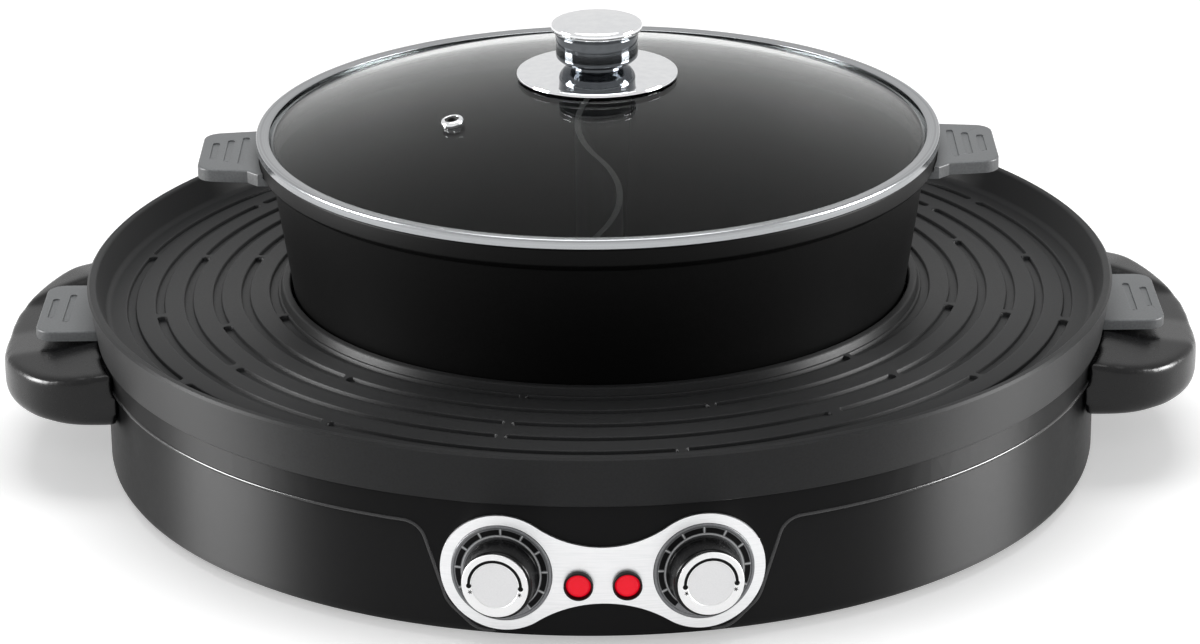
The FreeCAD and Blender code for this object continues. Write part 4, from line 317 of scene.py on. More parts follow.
# %% [markdown]
# A finished bmesh becomes an object at the origin. It rides on the body of the CAD node that it
# stands for and hides that node. Edges sharper than a given angle, mostly 30 degrees, stay
# crisp, and the rest are smooth.

# %% From a bmesh to a piece
def add_piece(name, shape, nodes=(), body=None, slot=None, surface=None, sharp=30, bevel=0):
    """Make a piece of a bmesh; its body, slot and finish come from the node it replaces."""
    mesh = bpy.data.meshes.new(name)
    shape.to_mesh(mesh)
    shape.free()
    piece = bpy.data.objects.new(name, mesh)
    bpy.context.scene.collection.objects.link(piece)
    slot = slot or SLOT_OF[nodes[0]]
    mesh.materials.append(surface or FINISHES[slot])
    mesh.shade_smooth()
    mesh.set_sharp_from_angle(angle=math.radians(sharp))
    if bevel:
        rounding = piece.modifiers.new("rounding", "BEVEL")
        rounding.width = bevel * MM
        rounding.segments = 3
        rounding.limit_method = "ANGLE"
        rounding.angle_limit = math.radians(sharp)
        rounding.harden_normals = True
    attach(piece, body or BODY_OF[nodes[0]])
    if nodes:
        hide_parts(*nodes)
    print(name, len(mesh.polygons), "faces")
    return piece


# %% [markdown]
# Some CAD pieces have the right shape already and only look hard, because each of their
# triangles is loose and flat. A copy whose doubled points are merged and whose flat faces are
# joined again takes smooth shading, and a narrow bevel gives its edges the small radius that a
# moulding has.

# %% A softened copy of a CAD node
CAD_WELD = 1.5e-6
FLAT_ANGLE = math.radians(0.5)


def merged_copy(name, join=True):
    """A CAD node's mesh as one connected bmesh."""
    shape = bmesh.new()
    shape.from_mesh(frame["nodes"][name].data)
    bmesh.ops.remove_doubles(shape, verts=shape.verts, dist=CAD_WELD)
    if join:
        bmesh.ops.dissolve_limit(shape, angle_limit=FLAT_ANGLE, verts=shape.verts,
                                 edges=shape.edges)
    return shape


def softened(name, bevel=0, sharp=30):
    """Stand a smooth copy in for a CAD node, its edges rounded where a bevel is given."""
    return add_piece(name + "_finished", merged_copy(name, join=bevel > 0), (name,),
                     bevel=bevel, sharp=sharp)


# %% [markdown]
# A plate that is curved round the drum comes from the CAD with wide flat facets. Cutting the
# copy by many upright planes and pushing each point back to its true radius makes the curve
# even, so that reflections run over it without a kink.

# %% A copy that follows the drum's curve
CUT_TOLERANCE = 1e-7
WRAP_REACH = 0.25
WRAP_ANGLE = math.radians(0.2)


def wrapped_copy(name, inner, outer, step=1.5):
    """A merged copy, divided round the Z axis; points near either radius are set on it."""
    shape = merged_copy(name, join=False)
    for i in range(int(180 / step)):
        turn = math.radians(i * step)
        bmesh.ops.bisect_plane(shape, geom=shape.verts[:] + shape.edges[:] + shape.faces[:],
                               plane_co=(0, 0, 0), plane_no=(math.cos(turn), math.sin(turn), 0),
                               dist=CUT_TOLERANCE)
    for vertex in shape.verts:
        far = math.hypot(vertex.co.x, vertex.co.y) / MM
        for radius in (inner, outer):
            if abs(far - radius) < WRAP_REACH:
                vertex.co.xy *= radius / far
    bmesh.ops.remove_doubles(shape, verts=shape.verts, dist=CAD_WELD)
    bmesh.ops.dissolve_limit(shape, angle_limit=WRAP_ANGLE, verts=shape.verts, edges=shape.edges)
    return shape


# %% [markdown]
# ## The base
# The drum is deep-drawn from one sheet: an upright wall, a rounded bottom edge and a lip turned
# in below. Its holes all lie behind what is mounted in them, so the dressed drum is a plain
# turned shell.

# %% Drum
DRUM_WALL = 1.2
DRUM_LIP = 26.0
DRUM_CORNER = 5.0
add_piece("drum_shell", turned([
    (BASE_RADIUS - DRUM_LIP, GROUND_GAP),
    (BASE_RADIUS, GROUND_GAP, DRUM_CORNER),
    (BASE_RADIUS, DRUM_TOP, 0.4),
    (BASE_RADIUS - DRUM_WALL, DRUM_TOP),
    (BASE_RADIUS - DRUM_WALL, GROUND_GAP + DRUM_WALL, DRUM_CORNER - DRUM_WALL),
    (BASE_RADIUS - DRUM_LIP, GROUND_GAP + DRUM_WALL)], steps=256), ("base_drum",))

# %% [markdown]
# The shoulder ring clips over the drum's top edge, and its front hangs down as an apron that
# frames the controls. The CAD outline is right, so it is copied, made evenly round and softened.

# %% Shoulder ring and apron
RING_WALL = 1.1
add_piece("shoulder_ring_finished",
          wrapped_copy("shoulder_ring", SHOULDER_OUTSIDE - RING_WALL, SHOULDER_OUTSIDE),
          ("shoulder_ring",), bevel=0.4, surface=RING_BLACK)

# %% [markdown]
# A fine bead follows the lower edge of the ring and the whole edge of the apron, and catches a
# thin line of light from its gloss. Its grey is lighter than the ring's black as well: a painted
# highlight. Its path is drawn flat, as corners of a place across the front, a level and a radius,
# and then laid round the drum.

# %% Bead along the ring and the apron
BEAD = 0.85
BEAD_SUNK = 0.3
BACK_STEPS = 180
RING_SKIRT = 9.5
APRON_LOW = levels("shoulder_ring")[0]
RING_LOW = DRUM_TOP - RING_SKIRT
BEAD_CORNERS = [(105.0, RING_LOW + BEAD, 0), (72.4, RING_LOW + BEAD, 9.0), (62.0, 17.4, 12.0),
                (50.0, APRON_LOW + BEAD, 12.0)]


def rounded(corners, steps=8):
    """An open line of (x, y, radius) corners with each corner turned into an arc."""
    points = []
    for before, corner, after in zip(corners, corners[1:], corners[2:]):
        spot = Vector(corner[:2])
        back = (Vector(before[:2]) - spot).normalized()
        ahead = (Vector(after[:2]) - spot).normalized()
        half = back.angle(ahead) / 2
        run = corner[2] / math.tan(half)
        centre = spot + (back + ahead).normalized() * corner[2] / math.sin(half)
        start, end = spot + back * run - centre, spot + ahead * run - centre
        points += [centre + start.slerp(end, i / steps).normalized() * corner[2]
                   for i in range(steps + 1)]
    return points


flat = rounded(BEAD_CORNERS + [(-x, level, radius) for x, level, radius in BEAD_CORNERS[::-1]])
bead_line = [(math.asin(spot.x / SHOULDER_OUTSIDE), spot.y) for spot in flat]
first_turn = bead_line[0][0]
bead_line += [(first_turn + (math.tau - 2 * first_turn) * (1 - i / BACK_STEPS), RING_LOW + BEAD)
              for i in range(1, BACK_STEPS)]
bead_curve = bpy.data.curves.new("shoulder_bead", "CURVE")
bead_curve.dimensions = "3D"
bead_curve.bevel_depth = BEAD * MM
bead_curve.bevel_resolution = 3
path = bead_curve.splines.new("POLY")
path.use_cyclic_u = True
path.points.add(len(bead_line) - 1)
far = (SHOULDER_OUTSIDE - BEAD_SUNK) * MM
for point, (turn, level) in zip(path.points, bead_line):
    point.co = (far * math.sin(turn), -far * math.cos(turn), level * MM, 1)
# The bead's lighter grey is a painted highlight.
bead_curve.materials.append(BEAD_PAINTED_HIGHLIGHT)
bead = bpy.data.objects.new("shoulder_bead", bead_curve)
bpy.context.scene.collection.objects.link(bead)
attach(bead, BODY_OF["shoulder_ring"])
print("the bead has", len(path.points), "points")

# %% [markdown]
# Underneath are the bottom cover and four rubber feet, and above the cover the reflector pan
# with the heaters. These, and the small screws, pins, nuts, shafts and bulbs of the whole part,
# keep their CAD shape with smooth shading.

# %% Underside, inside and small parts
for name in ("bottom_cover", "rubber_feet", "reflector_pan", "griddle_heater", "heater_brackets",
             "pot_hot_plate", "pot_heater", "pot_sensor", "thermostat_left", "thermostat_right",
             "terminal_block", "thermal_fuse", "wire_leads", "foot_screws", "cover_screws",
             "handle_screws", "inlet_screws", "inlet_pins", "griddle_ear_screws",
             "pot_ear_screws", "lid_screw", "lamp_bulbs", "shaft_nuts", "control_shaft_left",
             "control_shaft_right", "lid_washer"):
    softened(name)

# %% [markdown]
# The side handles are thick black mouldings. Their top falls outwards, with a raised ridge
# towards the back. All their edges flow into each other, so a bevel is not enough: the copy is
# meshed again in even small squares and smoothed many times, which melts each edge into the
# faces beside it.

# %% Side handles
SKIN_SQUARE = 1.0
MELT_FACTOR = 0.5
MELT_ROUNDS = 44
for side in ("left", "right"):
    handle = softened("handle_" + side)
    handle.data.materials[0] = HANDLE_BLACK
    skin = handle.modifiers.new("even_skin", "REMESH")
    skin.mode = "VOXEL"
    skin.voxel_size = SKIN_SQUARE * MM
    skin.use_smooth_shade = True
    melt = handle.modifiers.new("melted_edges", "SMOOTH")
    melt.factor = MELT_FACTOR
    melt.iterations = MELT_ROUNDS

# %% Power inlet
softened("power_inlet", bevel=0.5)

# %% [markdown]
# ## The control panel
# Everything on the panel stands square to the drum's curved side. It is made lying flat, with
# its own axis along Z, and then moved out to the panel by one matrix.

# %% The way to the panel
def on_panel(name):
    """The matrix that stands a piece out of the panel where a CAD node is."""
    low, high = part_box(name)
    middle = (low + high) / 2
    azimuth = math.atan2(middle.x, -middle.y)
    across = Vector((math.cos(azimuth), math.sin(azimuth), 0))
    outwards = Vector((math.sin(azimuth), -math.cos(azimuth), 0))
    place = Matrix((across, (0, 0, 1), outwards)).transposed().to_4x4()
    place.translation = outwards * PANEL_RADIUS * MM
    place.translation.z = middle.z
    return place


def stand(shape, place):
    """Move a shape that was made lying flat to its place."""
    bmesh.ops.transform(shape, matrix=place, verts=shape.verts)
    return shape


for side in ("left", "right"):
    print(side, "dial at", [round(c / MM, 1) for c in on_panel("dial_" + side).translation])

# %% [markdown]
# The fascia is one bright plate in the shape of a dumb-bell, rolled to the drum's curve.

# %% Fascia
FASCIA_INNER = PANEL_RADIUS - 0.3
FASCIA_OUTER = FASCIA_INNER + 1.2
add_piece("fascia_finished", wrapped_copy("fascia_plate", FASCIA_INNER, FASCIA_OUTER, step=0.75),
          ("fascia_plate",), bevel=0.35)

# %% [markdown]
# A curved printed mark, such as the dashes of a dial's scale, is a small box spun through part
# of a turn and closed at both ends. It stands about a tenth of a millimetre proud at most, as
# thick ink does.

# %% Curved bars for printed scales
def arc_bar(shape, inner, outer, low, high, start, sweep):
    """Add a bar that follows a circle round the Z axis; angles are in degrees."""
    corners = [(inner, low), (outer, low), (outer, high), (inner, high)]
    ring = [shape.verts.new((r * MM, 0, z * MM)) for r, z in corners]
    bmesh.ops.rotate(shape, cent=(0, 0, 0), verts=ring,
                     matrix=Matrix.Rotation(math.radians(start), 3, "Z"))
    edges = [shape.edges.new((a, b)) for a, b in zip(ring, ring[1:] + ring[:1])]
    spun = bmesh.ops.spin(shape, geom=ring + edges, cent=(0, 0, 0), axis=(0, 0, 1),
                          angle=math.radians(sweep), steps=max(1, round(abs(sweep) / 4)))
    last = [part for part in spun["geom_last"] if isinstance(part, bmesh.types.BMEdge)]
    bmesh.ops.holes_fill(shape, edges=edges + last, sides=4)
    bmesh.ops.recalc_face_normals(shape, faces=shape.faces)
    return shape


print("printed marks stand about 0.1 mm proud at most")

# %% [markdown]
# Each dial is a grey disc let into the fascia, printed with a scale of even black dashes, light
# marks between them and a thin light line inside them. The scale's start, its step, the gap
# beside a dash and the width of a mark are in degrees.

# %% Dials and their scales
DIAL_RADIUS = 20.3
DIAL_FRONT = 1.1
DIAL_FACE = DIAL_FRONT - 0.25
BUSH_HOLE = 5.1
SCALE_START = -52.0
SCALE_STEP = 28.4
DASHES = 10
DASH_RING = (16.4, 18.5)
DASH_GAP = 2.0
MARK_RING = (16.3, 18.8)
MARK_WIDTH = 1.6
LINE_RING = (15.5, 16.1)
INK_LEVELS = (DIAL_FRONT - 0.3, DIAL_FRONT - 0.14)
LINE_LEVELS = (DIAL_FRONT - 0.3, DIAL_FRONT - 0.15)
INK = finish("printing_ink_black", "#060607", "#0c0c0d", 0.8, (0.45, 0.6), specular=0.1)
PALE_INK = finish("printing_ink_pale", "#b9babb", "#cccdce", 0.8, (0.4, 0.5))
for side in ("left", "right"):
    place = on_panel("dial_" + side)
    add_piece("dial_%s_turned" % side, stand(turned([
        (BUSH_HOLE, -0.3),
        (DIAL_RADIUS, -0.3),
        (DIAL_RADIUS, DIAL_FRONT, 0.25),
        (DIAL_RADIUS - 1.1, DIAL_FRONT, 0.1),
        (DIAL_RADIUS - 1.3, DIAL_FACE, 0.1),
        (BUSH_HOLE, DIAL_FACE)], steps=128), place), ("dial_" + side,))
    dashes, marks = bmesh.new(), bmesh.new()
    for i in range(DASHES):
        start = SCALE_START + i * SCALE_STEP
        arc_bar(dashes, *DASH_RING, *INK_LEVELS, start + DASH_GAP, SCALE_STEP - 2 * DASH_GAP)
        arc_bar(marks, *MARK_RING, *INK_LEVELS, start - MARK_WIDTH / 2, MARK_WIDTH)
    arc_bar(marks, *LINE_RING, *LINE_LEVELS, SCALE_START, DASHES * SCALE_STEP)
    add_piece("dial_%s_dashes" % side, stand(dashes, place), body="base", slot="grey_dial",
              surface=INK)
    add_piece("dial_%s_marks" % side, stand(marks, place), body="base", slot="grey_dial",
              surface=PALE_INK)

# %% [markdown]
# A knob is a plain black moulding with a narrow skirt and a slight taper, hollow below.

# %% Knobs
KNOB_BORE = 3.05
KNOB_SOCKET = 9.5
SOCKET_ROOF = 5.6
KNOB_LOW = 1.6
KNOB_TOP = 13.4
KNOB_SKIRT = 15.2
FACE_LOW = 12.7
FACE_SEAT = 13.5
for side in ("left", "right"):
    add_piece("knob_%s_moulded" % side, stand(turned([
        (KNOB_BORE, SOCKET_ROOF), (KNOB_SOCKET, SOCKET_ROOF), (KNOB_SOCKET, KNOB_LOW),
        (KNOB_SKIRT, KNOB_LOW, 0.3), (KNOB_SKIRT, KNOB_LOW + 1.8, 0.4),
        (14.9, KNOB_LOW + 2.4, 0.2), (14.3, KNOB_TOP - 0.9, 0.4), (13.9, KNOB_TOP, 0.2),
        (FACE_SEAT, KNOB_TOP), (FACE_SEAT, FACE_LOW), (KNOB_BORE, FACE_LOW)],
        steps=128), on_panel("knob_" + side)), ("knob_" + side,), sharp=40)

# %% [markdown]
# A bright disc caps each knob: a raised outer ring, a flat middle, and a printed arc with a dot
# at each end and a small star beyond each dot. A star is three thin bars laid crosswise.

# %% Knob faces
FACE_RADIUS = 13.4
FACE_TOP = 13.7
FACE_MIDDLE = 9.3
ARC_RADIUS = 10.4
ARC_HALF = 0.6
DOT_TURNS = (-3, 183)
DOT_RADIUS = 1.05
STAR_TURNS = (-18, 198)
STAR_BAR = (1.7, 0.28)
PRINT_DEPTH = 0.16
PRINT_MIDDLE = FACE_TOP - 0.02
FACE_SILVER = finish("satin_plate_silver", "#f3f3f4", "#f8f8f8", 0.5, (0.4, 0.5), metallic=0.5,
                     bump=0.003)
FACE_GREY = finish("satin_plate_grey", "#e2e2e3", "#e8e8e9", 0.5, (0.4, 0.5), metallic=0.5,
                   bump=0.003)
for side in ("left", "right"):
    place = on_panel("knob_face_" + side)
    add_piece("knob_face_%s_turned" % side, stand(turned([
        (0, FACE_LOW), (FACE_RADIUS, FACE_LOW), (FACE_RADIUS, FACE_TOP, 0.35),
        (FACE_MIDDLE + 0.3, FACE_TOP, 0.1), (FACE_MIDDLE, FACE_TOP - 0.3), (0, FACE_TOP - 0.3)],
        steps=96), place), ("knob_face_" + side,), surface=FACE_SILVER)
    add_piece("knob_face_%s_middle" % side, stand(turned([
        (0, FACE_TOP - 0.5), (FACE_MIDDLE, FACE_TOP - 0.5), (FACE_MIDDLE, FACE_TOP - 0.2),
        (0, FACE_TOP - 0.2)], steps=96), place), body=BODY_OF["knob_face_" + side],
        slot="silver_fascia", surface=FACE_GREY)
    print_shape = bmesh.new()
    arc_bar(print_shape, ARC_RADIUS - ARC_HALF, ARC_RADIUS + ARC_HALF, FACE_TOP - 0.1,
            FACE_TOP + 0.06, 0, 180)
    on_arc = Matrix.Translation((ARC_RADIUS * MM, 0, PRINT_MIDDLE * MM))
    for turn in DOT_TURNS:
        spot = Matrix.Rotation(math.radians(turn), 4, "Z") @ on_arc
        bmesh.ops.create_cone(print_shape, cap_ends=True, segments=16, radius1=DOT_RADIUS * MM,
                              radius2=DOT_RADIUS * MM, depth=PRINT_DEPTH * MM, matrix=spot)
    bar = Matrix.Diagonal((STAR_BAR[0] * MM, STAR_BAR[1] * MM, PRINT_DEPTH * MM, 1))
    for turn in STAR_TURNS:
        for tilt in (0, 60, 120):
            spot = (Matrix.Rotation(math.radians(turn), 4, "Z") @ on_arc
                    @ Matrix.Rotation(math.radians(tilt), 4, "Z") @ bar)
            bmesh.ops.create_cube(print_shape, size=1, matrix=spot)
    add_piece("knob_face_%s_print" % side, stand(print_shape, place),
              body=BODY_OF["knob_face_" + side], slot="silver_fascia", surface=INK)

# %% [markdown]
# Between the knobs are two signal lamps: a black bezel pushed through the fascia, and a red
# lens set a little below the bezel's rim, so that the rim's inner wall shows as a dark crescent.

# %% Lamps
BEZEL_BORE = 3.5
BEZEL_BARREL = 4.6
BEZEL_WELL = 4.9
BEZEL_FLANGE = 5.9
BEZEL_END = -12
BEZEL_SEAT = 0.9
BEZEL_TOP = 3.3
LENS_RADIUS = 4.88
LENS_LOW = 1.2
LENS_RISE = 1.0
for side in ("left", "right"):
    place = on_panel("lamp_lens_" + side)
    add_piece("lamp_bezel_%s_turned" % side, stand(turned([
        (BEZEL_BORE, BEZEL_END), (BEZEL_BARREL, BEZEL_END), (BEZEL_BARREL, BEZEL_SEAT),
        (BEZEL_FLANGE, BEZEL_SEAT), (BEZEL_FLANGE, BEZEL_TOP, 0.4), (5.25, BEZEL_TOP, 0.2),
        (BEZEL_WELL, LENS_LOW + 0.1), (BEZEL_WELL, LENS_LOW), (BEZEL_BORE, LENS_LOW)],
        steps=64), place), ("lamp_bezel_" + side,))
    add_piece("lamp_lens_%s_turned" % side, stand(turned([
        (0, LENS_LOW), (LENS_RADIUS, LENS_LOW), (LENS_RADIUS, LENS_LOW + 0.3, 0.1),
        (4.3, LENS_LOW + LENS_RISE - 0.2, 0.3), (2.4, LENS_LOW + LENS_RISE - 0.05),
        (0, LENS_LOW + LENS_RISE)], steps=64), place), ("lamp_lens_" + side,))

# %% [markdown]
# ## The griddle
# The griddle is one casting: a collar round the pot, a plate that falls gently outwards, and a
# high rim. Six rings of short curved grooves carry the fat away. The profile gets extra points
# at each groove's sides, so that after the spin the grooves are strips of faces that can be
# inset and pushed down.

# %% Griddle profile
GRIDDLE_STEPS = 540
SEAT_LEVEL, RIM_TOP = levels("griddle_pan")
RIM_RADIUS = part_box("griddle_pan")[1].y / MM
SKIRT_RADIUS = RIM_RADIUS - 3.5
PLATE_OUTER = RIM_RADIUS - 8.0
PLATE_INNER = 139.5
PLATE_FALL = 4.8
PLATE_OUTER_LEVEL = RIM_TOP - 12.2
PLATE_INNER_LEVEL = PLATE_OUTER_LEVEL + PLATE_FALL
COLLAR_RADIUS = 135.0
GROOVE_HALF = 2.3
GROOVE_DEPTH = 1.5
GROOVE_MARGIN = 10.7
GROOVE_PITCH = 12.4
GROOVE_RINGS = [PLATE_OUTER - GROOVE_MARGIN - GROOVE_PITCH * i for i in range(6)]
GROOVE_POINTS = (2.9, GROOVE_HALF, 1.5, 0, -1.5, -GROOVE_HALF, -2.9)


def plate_level(radius):
    """Level of the cooking face at a radius."""
    share = (PLATE_OUTER - radius) / (PLATE_OUTER - PLATE_INNER)
    return PLATE_OUTER_LEVEL + share * (PLATE_INNER_LEVEL - PLATE_OUTER_LEVEL)


plate_line = [(ring + shift, plate_level(ring + shift)) for ring in GROOVE_RINGS
              for shift in GROOVE_POINTS]
griddle = turned([
    (COLLAR_RADIUS, PLATE_INNER_LEVEL - 4), (PLATE_INNER - 1, PLATE_INNER_LEVEL - 4),
    (SKIRT_RADIUS - 4.7, PLATE_OUTER_LEVEL - 4), (SKIRT_RADIUS - 3.7, SEAT_LEVEL),
    (SKIRT_RADIUS, SEAT_LEVEL, 0.8), (RIM_RADIUS, RIM_TOP - 1), (RIM_RADIUS - 1, RIM_TOP),
    (RIM_RADIUS - 3.7, RIM_TOP, 0.8), (PLATE_OUTER, PLATE_OUTER_LEVEL, 2.2)] + plate_line + [
    (PLATE_INNER, PLATE_INNER_LEVEL, 0.9), (COLLAR_RADIUS + 3.5, RIM_TOP - 4.0, 0.8),
    (COLLAR_RADIUS, RIM_TOP - 4.0, 0.8)], steps=GRIDDLE_STEPS, rounding_segments=3)
print("griddle before its grooves:", len(griddle.faces), "faces")

# %% [markdown]
# The grooves are cast in, with round ends. The corner points of each end are drawn in along the
# arc before the insets, which rounds the strip's outline. Three insets, each a width and a drop,
# then make a softened edge and a floor.

# %% Grooves
GROOVE_GAP = 7.0
GROOVE_ARCS = (8, 8, 8, 6, 6, 6)
FIRST_GROOVE = -13.0
END_REACH = GROOVE_HALF + 0.1
END_LIMIT = 0.75
GROOVE_INSETS = ((0.25, 0.12), (0.2, 0.3), (0.25, GROOVE_DEPTH - 0.42))
strips = []
for i, (ring, arcs) in enumerate(zip(GROOVE_RINGS, GROOVE_ARCS)):
    pitch = 360.0 / arcs
    first = FIRST_GROOVE + (pitch / 2 if i % 2 else 0)
    gap = math.degrees((GROOVE_GAP - 2 * GROOVE_HALF) / ring)
    for k in range(arcs):
        begin = round((first + k * pitch + gap / 2) * GRIDDLE_STEPS / 360)
        end = round((first + (k + 1) * pitch - gap / 2) * GRIDDLE_STEPS / 360)
        strips.append((ring, begin, end))


def polar(point):
    """Radius in millimetres and azimuth in spin steps."""
    return (math.hypot(point.x, point.y) / MM,
            math.degrees(math.atan2(point.y, point.x)) * GRIDDLE_STEPS / 360)


upper = [v for v in griddle.verts if PLATE_OUTER_LEVEL < v.co.z / MM < PLATE_INNER_LEVEL
         and PLATE_INNER + 1 < math.hypot(v.co.x, v.co.y) / MM < PLATE_OUTER - 5]
by_step = {}
for vertex in upper:
    far, step = polar(vertex.co)
    by_step.setdefault(round(step) % GRIDDLE_STEPS, []).append((far, vertex))
groove_faces = set()
for ring, begin, end in strips:
    for face in {f for step in range(begin, end) for far, v in by_step[step % GRIDDLE_STEPS]
                 if abs(far - ring) < END_REACH for f in v.link_faces}:
        far, step = polar(face.calc_center_median())
        inside = (step - begin) % GRIDDLE_STEPS < (end - begin) % GRIDDLE_STEPS
        if abs(far - ring) < GROOVE_HALF and inside:
            groove_faces.add(face)
length_of_step = math.tau / GRIDDLE_STEPS
for ring, begin, end in strips:
    for edge_step, sign in ((begin, 1), (end, -1)):
        column = [(far, v) for far, v in by_step[edge_step % GRIDDLE_STEPS]
                  if abs(far - ring) < END_REACH]
        for far, vertex in column:
            off = abs(far - ring)
            back = GROOVE_HALF - math.sqrt(max(0.0, GROOVE_HALF ** 2 - off ** 2))
            back = min(back, END_LIMIT * ring * length_of_step)
            bmesh.ops.rotate(griddle, cent=(0, 0, 0), verts=[vertex],
                             matrix=Matrix.Rotation(sign * back / ring, 3, "Z"))
faces = list(groove_faces)
for inset, drop in GROOVE_INSETS:
    bmesh.ops.inset_region(griddle, faces=faces, thickness=inset * MM, depth=-drop * MM,
                           use_even_offset=True, use_boundary=True)

# %% [markdown]
# A flat lug on each side of the casting carries a grip. The pot has a pair of its own, so one
# function makes both.

# %% Lugs for the grips
def add_lugs(shape, far, level, size):
    """Add a flat block on each side, its middle at a distance along X and at a level."""
    block = Matrix.Diagonal((*(length * MM for length in size), 1))
    for sign in (-1, 1):
        middle = Matrix.Translation((sign * far * MM, 0, level * MM))
        bmesh.ops.create_cube(shape, size=1, matrix=middle @ block)


add_lugs(griddle, far=229.25, level=62.8, size=(17.5, 44, 1.6))
griddle_piece = add_piece("griddle_cast", griddle, ("griddle_pan",), sharp=35)
flattened = griddle_piece.modifiers.new("flat_lands", "WEIGHTED_NORMAL")
flattened.keep_sharp = True

# %% [markdown]
# The grips at the griddle's sides and the pot's are grey mouldings with a few finger slots. They
# slide over a lug of the casting and are screwed from below.

# %% Grips
for name in ("griddle_ear_left", "griddle_ear_right", "pot_ear_left", "pot_ear_right"):
    softened(name, bevel=0.55, sharp=28)

# %% [markdown]
# ## The pot
# The pot is cast too: a rounded bottom, a wall that flares gently and a thick brim with a ledge
# that takes the lid. An S-shaped wall parts it in two.

# %% Pot shell
POT_LOW, BRIM_TOP = levels("pot_shell")
BRIM_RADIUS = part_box("pot_shell")[1].y / MM
POT_HIGH = BRIM_TOP - 10.5
POT_HIGH_RADIUS = BRIM_RADIUS - 4.9
POT_LOW_RADIUS = POT_HIGH_RADIUS - 14.8
POT_WALL = 2.4
pot = turned([
    (0, POT_LOW), (POT_LOW_RADIUS, POT_LOW, 13.0), (POT_HIGH_RADIUS, POT_HIGH, 0.6),
    (BRIM_RADIUS, POT_HIGH + 3, 0.8), (BRIM_RADIUS, BRIM_TOP, 0.9),
    (BRIM_RADIUS - 4.5, BRIM_TOP, 0.6), (BRIM_RADIUS - 4.5, POT_HIGH + 2.5),
    (POT_HIGH_RADIUS - POT_WALL, POT_HIGH, 0.6), (POT_LOW_RADIUS - 2.05, POT_LOW + POT_WALL, 11.0),
    (0, POT_LOW + POT_WALL)], steps=256, rounding_segments=8)
add_lugs(pot, far=153, level=134.3, size=(24, 38, 2.0))
add_piece("pot_cast", pot, ("pot_shell",), sharp=35)

# %% Pot divider
softened("pot_divider", bevel=0.6, sharp=28)

# %% [markdown]
# ## The lid
# The dome is part of a sphere. One point spun about the sphere's centre draws the outer line,
# a second one draws the inner, and both are then spun round the lid's axis.

# %% Glass dome
GLASS_LOW, GLASS_TOP = levels("lid_glass")
GLASS_EDGE = reach("lid_glass")
GLASS_THICK = 2.4
DOME_RADIUS = GLASS_EDGE - 2.2
SCREW_HOLE = 3.7
SPHERE = 396.07
SPHERE_CENTRE = GLASS_TOP - SPHERE
SPHERE_TOLERANCE = 1e-4
glass = bmesh.new()
for radius in (SPHERE, SPHERE - GLASS_THICK):
    begin = math.asin(SCREW_HOLE / radius)
    finish_angle = math.asin(DOME_RADIUS / radius)
    start = glass.verts.new((radius * math.sin(begin) * MM, 0,
                             (SPHERE_CENTRE + radius * math.cos(begin)) * MM))
    bmesh.ops.spin(glass, geom=[start], cent=(0, 0, SPHERE_CENTRE * MM), axis=(0, 1, 0),
                   angle=finish_angle - begin, steps=36)
glass.verts.ensure_lookup_table()
sphere_middle = Vector((0, 0, SPHERE_CENTRE * MM))
outer = sorted((v for v in glass.verts
                if abs((v.co - sphere_middle).length - SPHERE * MM) < SPHERE_TOLERANCE),
               key=lambda v: v.co.x)
inner = sorted((v for v in glass.verts if v not in outer), key=lambda v: v.co.x)
rim_low = glass.verts.new((GLASS_EDGE * MM, 0, GLASS_LOW * MM))
rim_high = glass.verts.new((GLASS_EDGE * MM, 0, (GLASS_LOW + GLASS_THICK) * MM))
for pair in ((outer[0], inner[0]), (outer[-1], rim_high), (rim_high, rim_low),
             (rim_low, inner[-1])):
    glass.edges.new(pair)
bmesh.ops.spin(glass, geom=glass.verts[:] + glass.edges[:], cent=(0, 0, 0), axis=(0, 0, 1),
               angle=math.tau, steps=256, use_merge=True)
bmesh.ops.remove_doubles(glass, verts=glass.verts, dist=WELD)
bmesh.ops.recalc_face_normals(glass, faces=glass.faces)
add_piece("glass_dome", glass, ("lid_glass",), sharp=40)

# %% [markdown]
# A steel strip is rolled round the glass. It turns in under the edge, and a short lip below
# keeps the lid centred in the pot.

# %% Lid rim
LIP_LOW, LID_TOP = levels("lid_rim")
LID_RADIUS = reach("lid_rim")
LID_LOW = LID_TOP - 4.2
add_piece("lid_rim_rolled", turned([
    (LID_RADIUS - 8.0, LIP_LOW), (LID_RADIUS - 7.4, LIP_LOW), (LID_RADIUS - 7.4, LID_LOW),
    (LID_RADIUS, LID_LOW, 0.4), (LID_RADIUS, LID_TOP - 0.7, 0.4), (LID_RADIUS - 0.7, LID_TOP, 0.4),
    (LID_RADIUS - 5.5, LID_TOP - 0.6, 0.25), (LID_RADIUS - 5.5, GLASS_LOW + GLASS_THICK + 0.1),
    (GLASS_EDGE + 0.2, GLASS_LOW + GLASS_THICK + 0.1), (GLASS_EDGE + 0.2, LID_LOW + 0.5),
    (LID_RADIUS - 8.0, LID_LOW + 0.5)], steps=256), ("lid_rim",))

# %% [markdown]
# The knob is three turned pieces on one screw: a wide flange that spreads the load on the glass,
# a straight barrel on a short neck, and a cap. All are chromed. The barrel's chrome has a darker
# colour, a painted dark reflection of the black pot and griddle below it. Their profiles are full
# of small radii, and each one draws its own bright line.

# %% Flange, barrel and cap
def dome_level(radius):
    """Level of the glass's outer face at a radius."""
    return SPHERE_CENTRE + math.sqrt(SPHERE ** 2 - radius ** 2)


